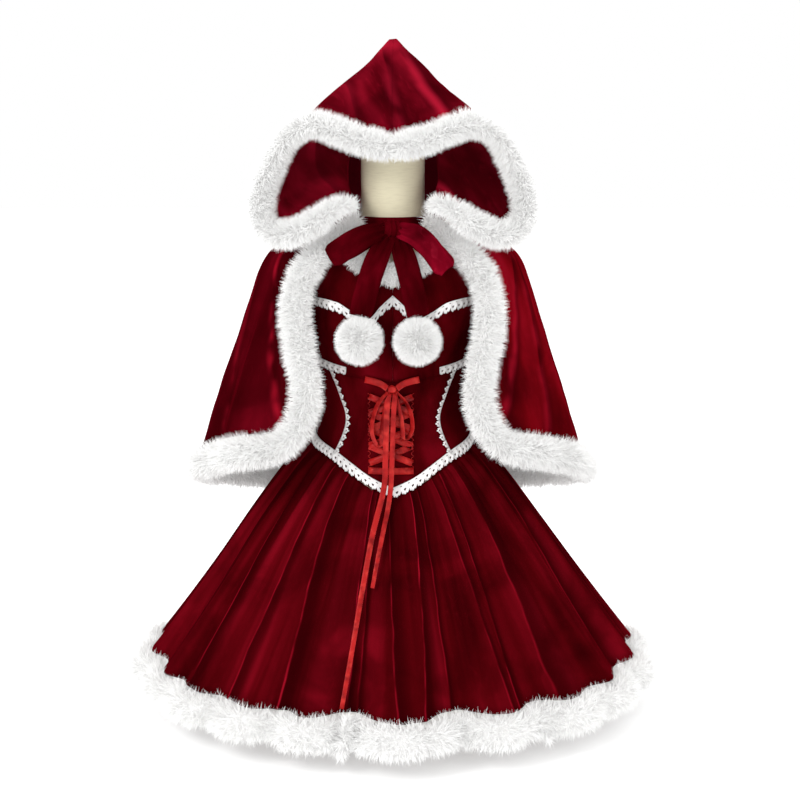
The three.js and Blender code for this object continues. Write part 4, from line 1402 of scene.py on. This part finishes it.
@dataclass
class Hood(Part):
    """The hood: two halves joined by a seam over the head. Each half's cut is a square."""

    middle: Vector
    neck_z: float = 0.795
    tip_z: float = 1.06
    tip_rise: float = 0.007
    seam_depth: float = 0.0022
    dent_depth: float = 0.004
    fine_depth: float = 0.0014
    cut: float = 0.34

    def shaped(self, place: Vector, _normal: Vector) -> Vector:
        """Press the seam and the soft dents of the hood.

        Args:
            place: a vertex's place.

        Returns:
            Its new place.
        """
        outward = (place - self.middle).normalized()
        seam = bell(place.x / 0.006) * self.seam_depth
        keep = clamp((place.z - self.neck_z) / 0.03)
        dent = ripple(place.x * 13 + 2, place.y * 13, place.z * 13) * self.dent_depth
        fine = ripple(*(place * 38)) * self.fine_depth
        shift = outward * ((dent + fine) * keep - seam)
        shift.x *= min(abs(place.x) / 0.02, 1.0)
        closed = math.copysign(0.0007 * bell(place.x / 0.002), place.x)
        point = bell((place.z - self.tip_z) / 0.014)
        shift.x -= closed + place.x * 0.5 * point
        shift.z += self.tip_rise * point + hood_brow(place)
        return place + shift

    def build(self) -> None:
        """Build both halves."""
        for node in ("hood_left", "hood_right"):
            piece = self.piece(node, "velvet", 2)
            reshape(piece, self.shaped)
            lay_map(piece, lambda place: (place.x + place.y * 0.6, place.z))
            declare(piece, Slot.CAPE, [node])
            area = min(half_area(piece), self.cut * self.cut)
            Cut(self.cut, self.cut, area).state(piece, "velvet_cape_back")


LOOPS = {
    "left": [
        Station(-12, -80, 773, 24), Station(-40, -108, 768, 34), Station(-64, -130, 757, 38),
        Station(-85, -142, 744, 37), Station(-93, -138.4, 740.5, 25), Station(-88, -129, 743, 35),
        Station(-64, -115, 753, 36), Station(-39, -96, 763, 30), Station(-14, -74, 770, 22),
    ],
    "right": [
        Station(10, -80, 774, 24), Station(36, -108, 768, 33), Station(56, -130, 752, 36),
        Station(73, -143, 729, 36), Station(80, -139.6, 722, 25), Station(78, -130, 727, 35),
        Station(58, -115, 747, 34), Station(35, -96, 761, 28), Station(12, -74, 770, 22),
    ],
}
TAILS = {
    "left": [
        Station(-7, -80, 764, 24), Station(-20, -109, 742, 33), Station(-32, -127, 712, 35),
        Station(-41, -142, 682, 35), Station(-48, -156, 655, 33),
    ],
    "right": [
        Station(6, -80, 764, 23), Station(16, -105, 741, 33), Station(25, -124, 712, 35),
        Station(32, -141, 682, 35), Station(38, -156, 655, 33),
    ],
}


@dataclass
class Tie(Part):
    """The velvet tie at the neck. The right loop is in a lighter copy of its velvet, painted as lit."""

    # bright: a lighter copy of the tie velvet, painted as lit, for the right loop
    bright: bpy.types.Material
    gather_depth: float = 0.0013
    swell: float = 0.0015
    band_cut: Cut = Cut(0.2, 0.02, 0.0036, "stretched")
    loop_cut: Cut = Cut(0.038, 0.26, 0.0088, "hung")
    tail_cut: Cut = Cut(0.036, 0.15, 0.0048, "hung")

    def gathered(self, place: Vector, normal: Vector) -> Vector:
        """Press gathers that run up and down into the knot.

        Args:
            place: a vertex's place.
            normal: its normal.

        Returns:
            Its new place.
        """
        fold = math.sin(place.x * 900 + 2 * math.sin(place.z * 160))
        fold += ripple(place.x * 90, 0, place.z * 60)
        return place + normal * (self.gather_depth * fold + self.swell)

    def build(self) -> None:
        """Build the band, the knot, the loops and the tails."""
        band = self.piece("tie_band", "velvet", 2)
        knot = self.piece("tie_knot", "velvet", 3)
        reshape(knot, self.gathered)
        for piece in (band, knot):
            lay_map(piece, lambda place: (place.x + place.y * 0.4, place.z))
            declare(piece, Slot.VELVET, [piece.name.removeprefix("velvet_")])
        self.band_cut.state(band, "form_cover")
        folds = {"left": Vector((-0.463, -0.232, 0.856)), "right": Vector((0.629, -0.418, 0.654))}
        for side, stations in LOOPS.items():
            # the right loop takes the painted lit copy
            face = self.bright if side == "right" else self.cloth
            ribbon = Ribbon(stations, folds[side], both_ends=True)
            piece = ribbon.build(f"velvet_tie_loop_{side}", face)
            declare(piece, Slot.VELVET, [f"tie_loop_{side}"])
            self.loop_cut.state(piece, knot.name)
        for side, stations in TAILS.items():
            ribbon = Ribbon(stations, Vector((1.0, 0.0, 0.0)))
            piece = ribbon.build(f"velvet_tie_tail_{side}", self.cloth)
            declare(piece, Slot.VELVET, [f"tie_tail_{side}"])
            self.tail_cut.state(piece, knot.name)


@dataclass(frozen=True)
class Growth:
    """How a skin's pile grows."""

    count: int
    length: float
    width: float
    bend: float
    droop: float
    spread: float


@dataclass
class Fur(Part):
    """Long pile grown on a lumpy skin inside each trim's solid."""

    lock_width: float = 0.0011
    bend: float = 0.3
    droop: float = 0.16
    spread: float = 0.38
    pinches: Sequence[float] = (-66.0, -33.0, -12.5, 9.5, 34.0, 62.0)
    pinch_depth: float = 0.006
    ball_radius: float = 0.0265
    ball_growth: Growth = Growth(9000, 0.0125, 0.001, 0.002, 0.04, 0.28)

    def lock(self, growth: Growth) -> bpy.types.Object:
        """Make one curved blade that tapers to a point, standing on the origin.

        Args:
            growth: its sizes.

        Returns:
            An object that isn't in the scene.
        """
        def place(u: float, v: float) -> Vector:
            """Return the blade's point."""
            x = (u - 0.5) * growth.width * (1 - v * v)
            return Vector((x, growth.bend * v * v, growth.length * v))

        form = grid(1, 2, place)
        bmesh.ops.remove_doubles(form, verts=form.verts, dist=growth.width * 0.01)
        reach = form.verts.layers.float.new(REACH)
        for vertex in form.verts:
            vertex[reach] = vertex.co.z / growth.length
        bmesh.ops.triangulate(form, faces=form.faces)
        mesh = bpy.data.meshes.new("lock")
        form.to_mesh(mesh)
        form.free()
        mesh.materials.append(self.cloth)
        return bpy.data.objects.new("lock", mesh)

    def grow(self, skin: bpy.types.Object, growth: Growth, seed: int) -> None:
        """Grow locks on a skin and keep both as one piece.

        Args:
            skin: the skin.
            growth: the locks' number and sizes, how gravity turns them and how tufts lean apart.
            seed: of the random draws.
        """
        lock = self.lock(growth)
        spread, low, high = growth.spread, -growth.spread - growth.droop, growth.spread - growth.droop
        area = sum(face.area for face in skin.data.polygons)
        group = bpy.data.node_groups.new(f"pile_{skin.name}", "GeometryNodeTree")
        for name, side in (("Skin", "INPUT"), ("Fur", "OUTPUT")):
            group.interface.new_socket(name, in_out=side, socket_type="NodeSocketGeometry")
        tree = Tree(group)
        source = tree.node("NodeGroupInput")
        inputs = {"Mesh": source, "Density": growth.count / area, "Seed": seed}
        settings = {"distribute_method": "RANDOM"}
        points = tree.node("GeometryNodeDistributePointsOnFaces", settings, inputs)
        normal = Value(tree, points.socket.node.outputs["Normal"])
        inputs = {"Vector": tree.node("GeometryNodeInputPosition"), "Scale": 48.0, "Detail": 1.0}
        noises = tree.node("ShaderNodeTexNoise", None, inputs, "Color")
        tufts = tree.vector("SUBTRACT", noises, (0.5, 0.5, 0.5))
        inputs = {0: tufts, "Scale": spread * 4.0}
        lean = tree.node("ShaderNodeVectorMath", {"operation": "SCALE"}, inputs)
        stray = tree.draw((-spread, -spread, low), (spread, spread, high), seed + 1)
        way = tree.vector("ADD", tree.vector("ADD", lean, stray), normal)
        spin = tree.node("FunctionNodeEulerToRotation", None, {
            0: tree.draw((0.0, 0.0, 0.0), (0.0, 0.0, math.tau), seed + 2),
        })
        turn = tree.node("FunctionNodeRotateRotation", {"rotation_space": "LOCAL"}, {
            "Rotation": tree.node("FunctionNodeAlignRotationToVector", {"axis": "Z"}, {"Vector": way}),
            "Rotate By": spin,
        })
        placed = tree.node("GeometryNodeInstanceOnPoints", None, {
            "Points": points,
            "Instance": tree.node("GeometryNodeObjectInfo", None, {"Object": lock}, "Geometry"),
            "Rotation": turn,
            "Scale": tree.draw((0.8, 0.8, 0.6), (1.2, 1.2, 1.15), seed + 3),
        })
        real = tree.node("GeometryNodeRealizeInstances", None, {0: placed})
        joined = tree.node("GeometryNodeJoinGeometry", None, {0: real})
        group.links.new(source.socket, joined.socket.node.inputs[0])
        tree.node("NodeGroupOutput", None, {0: joined})
        pile = skin.modifiers.new("pile", "NODES")
        pile.node_group = group
        applied(skin)
        bpy.data.node_groups.remove(group)
        bpy.data.objects.remove(lock)
        skin.data.materials.clear()
        skin.data.materials.append(self.cloth)
        skin.data.polygons.foreach_set("material_index", [0] * len(skin.data.polygons))
        skin.data.polygons.foreach_set("use_smooth", [True] * len(skin.data.polygons))

    def trim(self, node: str, inset: float, count: int, length: float, seed: int) -> None:
        """Build one fur trim.

        Args:
            node: its solid.
            inset: how far its skin lies inside the solid, in metres.
            count: locks.
            length: of a lock, in metres.
            seed: of the random draws.
        """
        skin = from_solid(self.nodes[node], f"pile_{node}", self.cloth, 1, 95.0, 0.5)

        def lumpy(place: Vector, normal: Vector) -> Vector:
            """Draw the skin in and make it uneven.

            Args:
                place: a vertex's place.
                normal: its normal.

            Returns:
                Its new place.
            """
            lump = ripple(*(place * 42)) * inset * 0.35
            pinch = 0.0
            if node == "skirt_fur_hem":
                turn = math.degrees(around(place)[0] / ARC)
                pinch = sum(bell((turn - at) / 2.0) for at in self.pinches) * self.pinch_depth
            brow = hood_brow(place) if node.startswith("hood") else 0.0
            return place - normal * (inset - lump + pinch) + Vector((0.0, 0.0, brow))

        reshape(skin, lumpy)
        growth = Growth(count, length, self.lock_width, length * self.bend, self.droop, self.spread)
        self.grow(skin, growth, seed)
        declare(skin, Slot.FUR, [node])

    def trims(self) -> None:
        """Build every trim."""
        plan = {
            "skirt_fur_hem": (0.0085, 54000, 0.0165),
            "cape_fur_right": (0.0085, 29000, 0.016),
            "cape_fur_back": (0.0085, 26000, 0.016),
            "cape_fur_left": (0.0085, 29000, 0.016),
            "hood_fur_right": (0.0075, 25000, 0.0155),
            "hood_fur_left": (0.0075, 25000, 0.0155),
            "neck_fur": (0.003, 7000, 0.010),
        }
        for i, (node, (inset, count, length)) in enumerate(plan.items()):
            self.trim(node, inset, count, length, 11 + 7 * i)

    def pompom(self, node: str, seed: int) -> None:
        """Build one pompom.

        Args:
            node: its solid.
            seed: of the random draws.
        """
        low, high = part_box(node)
        centre = (low + high) / 2
        form = bmesh.new()
        seat = Matrix.Translation(centre)
        bmesh.ops.create_icosphere(form, subdivisions=3, radius=self.ball_radius, matrix=seat)
        for vertex in form.verts:
            out = (vertex.co - centre).normalized()
            vertex.co += out * ripple(out.x * 3, out.y * 3, out.z * 3 + seed) * 0.002
        skin = finished(f"pile_{node}", form, self.cloth)
        self.grow(skin, self.ball_growth, seed)
        declare(skin, Slot.FUR, [node])


@dataclass
class Studio:
    """Floor, light and camera."""

    aim: Vector
    eye: Vector
    lens: float = 66.0
    sensor: float = 36.0
    floor: float = 9.0

    def aimed(self, name: str, data: bpy.types.ID, place: Vector) -> bpy.types.Object:
        """Put a lamp or the camera into the scene and turn it to the aim.

        Args:
            name: its name.
            data: the lamp's or the camera's data.
            place: where it stands.

        Returns:
            The object.
        """
        made = bpy.data.objects.new(name, data)
        made.location = place
        made.rotation_euler = (self.aim - place).to_track_quat("-Z", "Y").to_euler()
        bpy.context.scene.collection.objects.link(made)
        return made

    def build(self) -> None:
        """Set the studio up."""
        scene = bpy.context.scene
        form = bmesh.new()
        bmesh.ops.create_grid(form, x_segments=1, y_segments=1, size=self.floor)
        paint = Plain("floor_paint", (0.85, 0.85, 0.85), 0.38).material()
        finished("studio_floor", form, paint)
        world = bpy.data.worlds.new("studio_air")
        world.use_nodes = True
        air = world.node_tree.nodes["Background"].inputs
        air["Color"].default_value = (1.0, 1.0, 1.0, 1.0)
        air["Strength"].default_value = 1.0
        scene.world = world
        scene.view_settings.view_transform = "Standard"
        scene.view_settings.look = "None"
        lamps = [
            ("key", (-1.9, -2.2, 2.5), 1.0, 40.0),
            ("fill", (2.4, -2.2, 1.5), 2.0, 10.0),
            ("top", (0.0, 0.4, 3.0), 2.0, 12.0),
            ("rear", (0.5, 2.8, 1.8), 2.0, 20.0),
        ]
        for name, place, size, power in lamps:
            lamp = bpy.data.lights.new(name, "AREA")
            lamp.energy = power
            lamp.size = size
            self.aimed(name, lamp, Vector(place))
        camera = bpy.data.cameras.new("camera")
        camera.lens = self.lens
        camera.sensor_width = self.sensor
        scene.camera = self.aimed("camera", camera, self.eye)


def main() -> None:
    """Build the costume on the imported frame."""
    logging.basicConfig(level=logging.INFO, format="%(name)s %(message)s")
    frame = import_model()
    nodes = frame["nodes"]
    dress = Velvet("dress_velvet", streaks=9.0, stretch=7.0, shine=0.34).material()
    gathered = Velvet("skirt_velvet", stretch=1.6, folds=SKIRT_FOLDS).material()
    # the cape velvet's glow is a faint painted glow that lifts its shade
    mantle = Velvet("cape_velvet", streaks=13.0, stretch=3.0, shine=0.62, glow=(0.008, 0.0001, 0.0005))
    # the hood velvet: painted creases and a faint painted glow
    pointed = Velvet(
        "hood_velvet", body=(0.1, 0.001, 0.0045), light=(0.42, 0.009, 0.03), streaks=12.0, stretch=9.0,
        shine=0.8, folds=HOOD_PAINTED_CREASES, crest=3.4, top=1.05, drop=0.13, glow=(0.016, 0.0002, 0.0012),
    ).material()
    tie = Velvet("tie_velvet", body=(0.07, 0.0004, 0.003), streaks=40.0, stretch=12.0, shine=0.22)
    # a lighter copy of the tie velvet, painted as lit, for the right loop
    lit_tie = Velvet("brushed_velvet", body=(0.3, 0.003, 0.018), light=(0.72, 0.03, 0.08), shine=0.9)
    DressForm(nodes, Linen("cream_linen").material()).build()
    bodice = Bodice(nodes, dress)
    bodice.panels()
    bodice.lace(LaceThread("beading_lace"), LaceThread("narrow_lace", slots=False))
    lacing = Lacing(nodes, Satin("red_satin").material())
    lacing.ribbons()
    lacing.loops()
    lacing.eyelets()
    Skirt(nodes, gathered).build()
    Cape(nodes, mantle.material(), mantle).build()
    Hood(nodes, pointed, middle=Vector((0.0, 0.0, 0.87))).build()
    Tie(nodes, tie.material(), lit_tie.material()).build()
    fur = Fur(nodes, Pile("white_pile").material())
    fur.trims()
    fur.pompom("pompom_left", 90)
    fur.pompom("pompom_right", 97)
    Studio(aim=Vector((0.011, 0.0, 0.494)), eye=Vector((0.011, -2.292, 1.002))).build()
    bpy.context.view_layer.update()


if __name__ == "__main__":
    main()
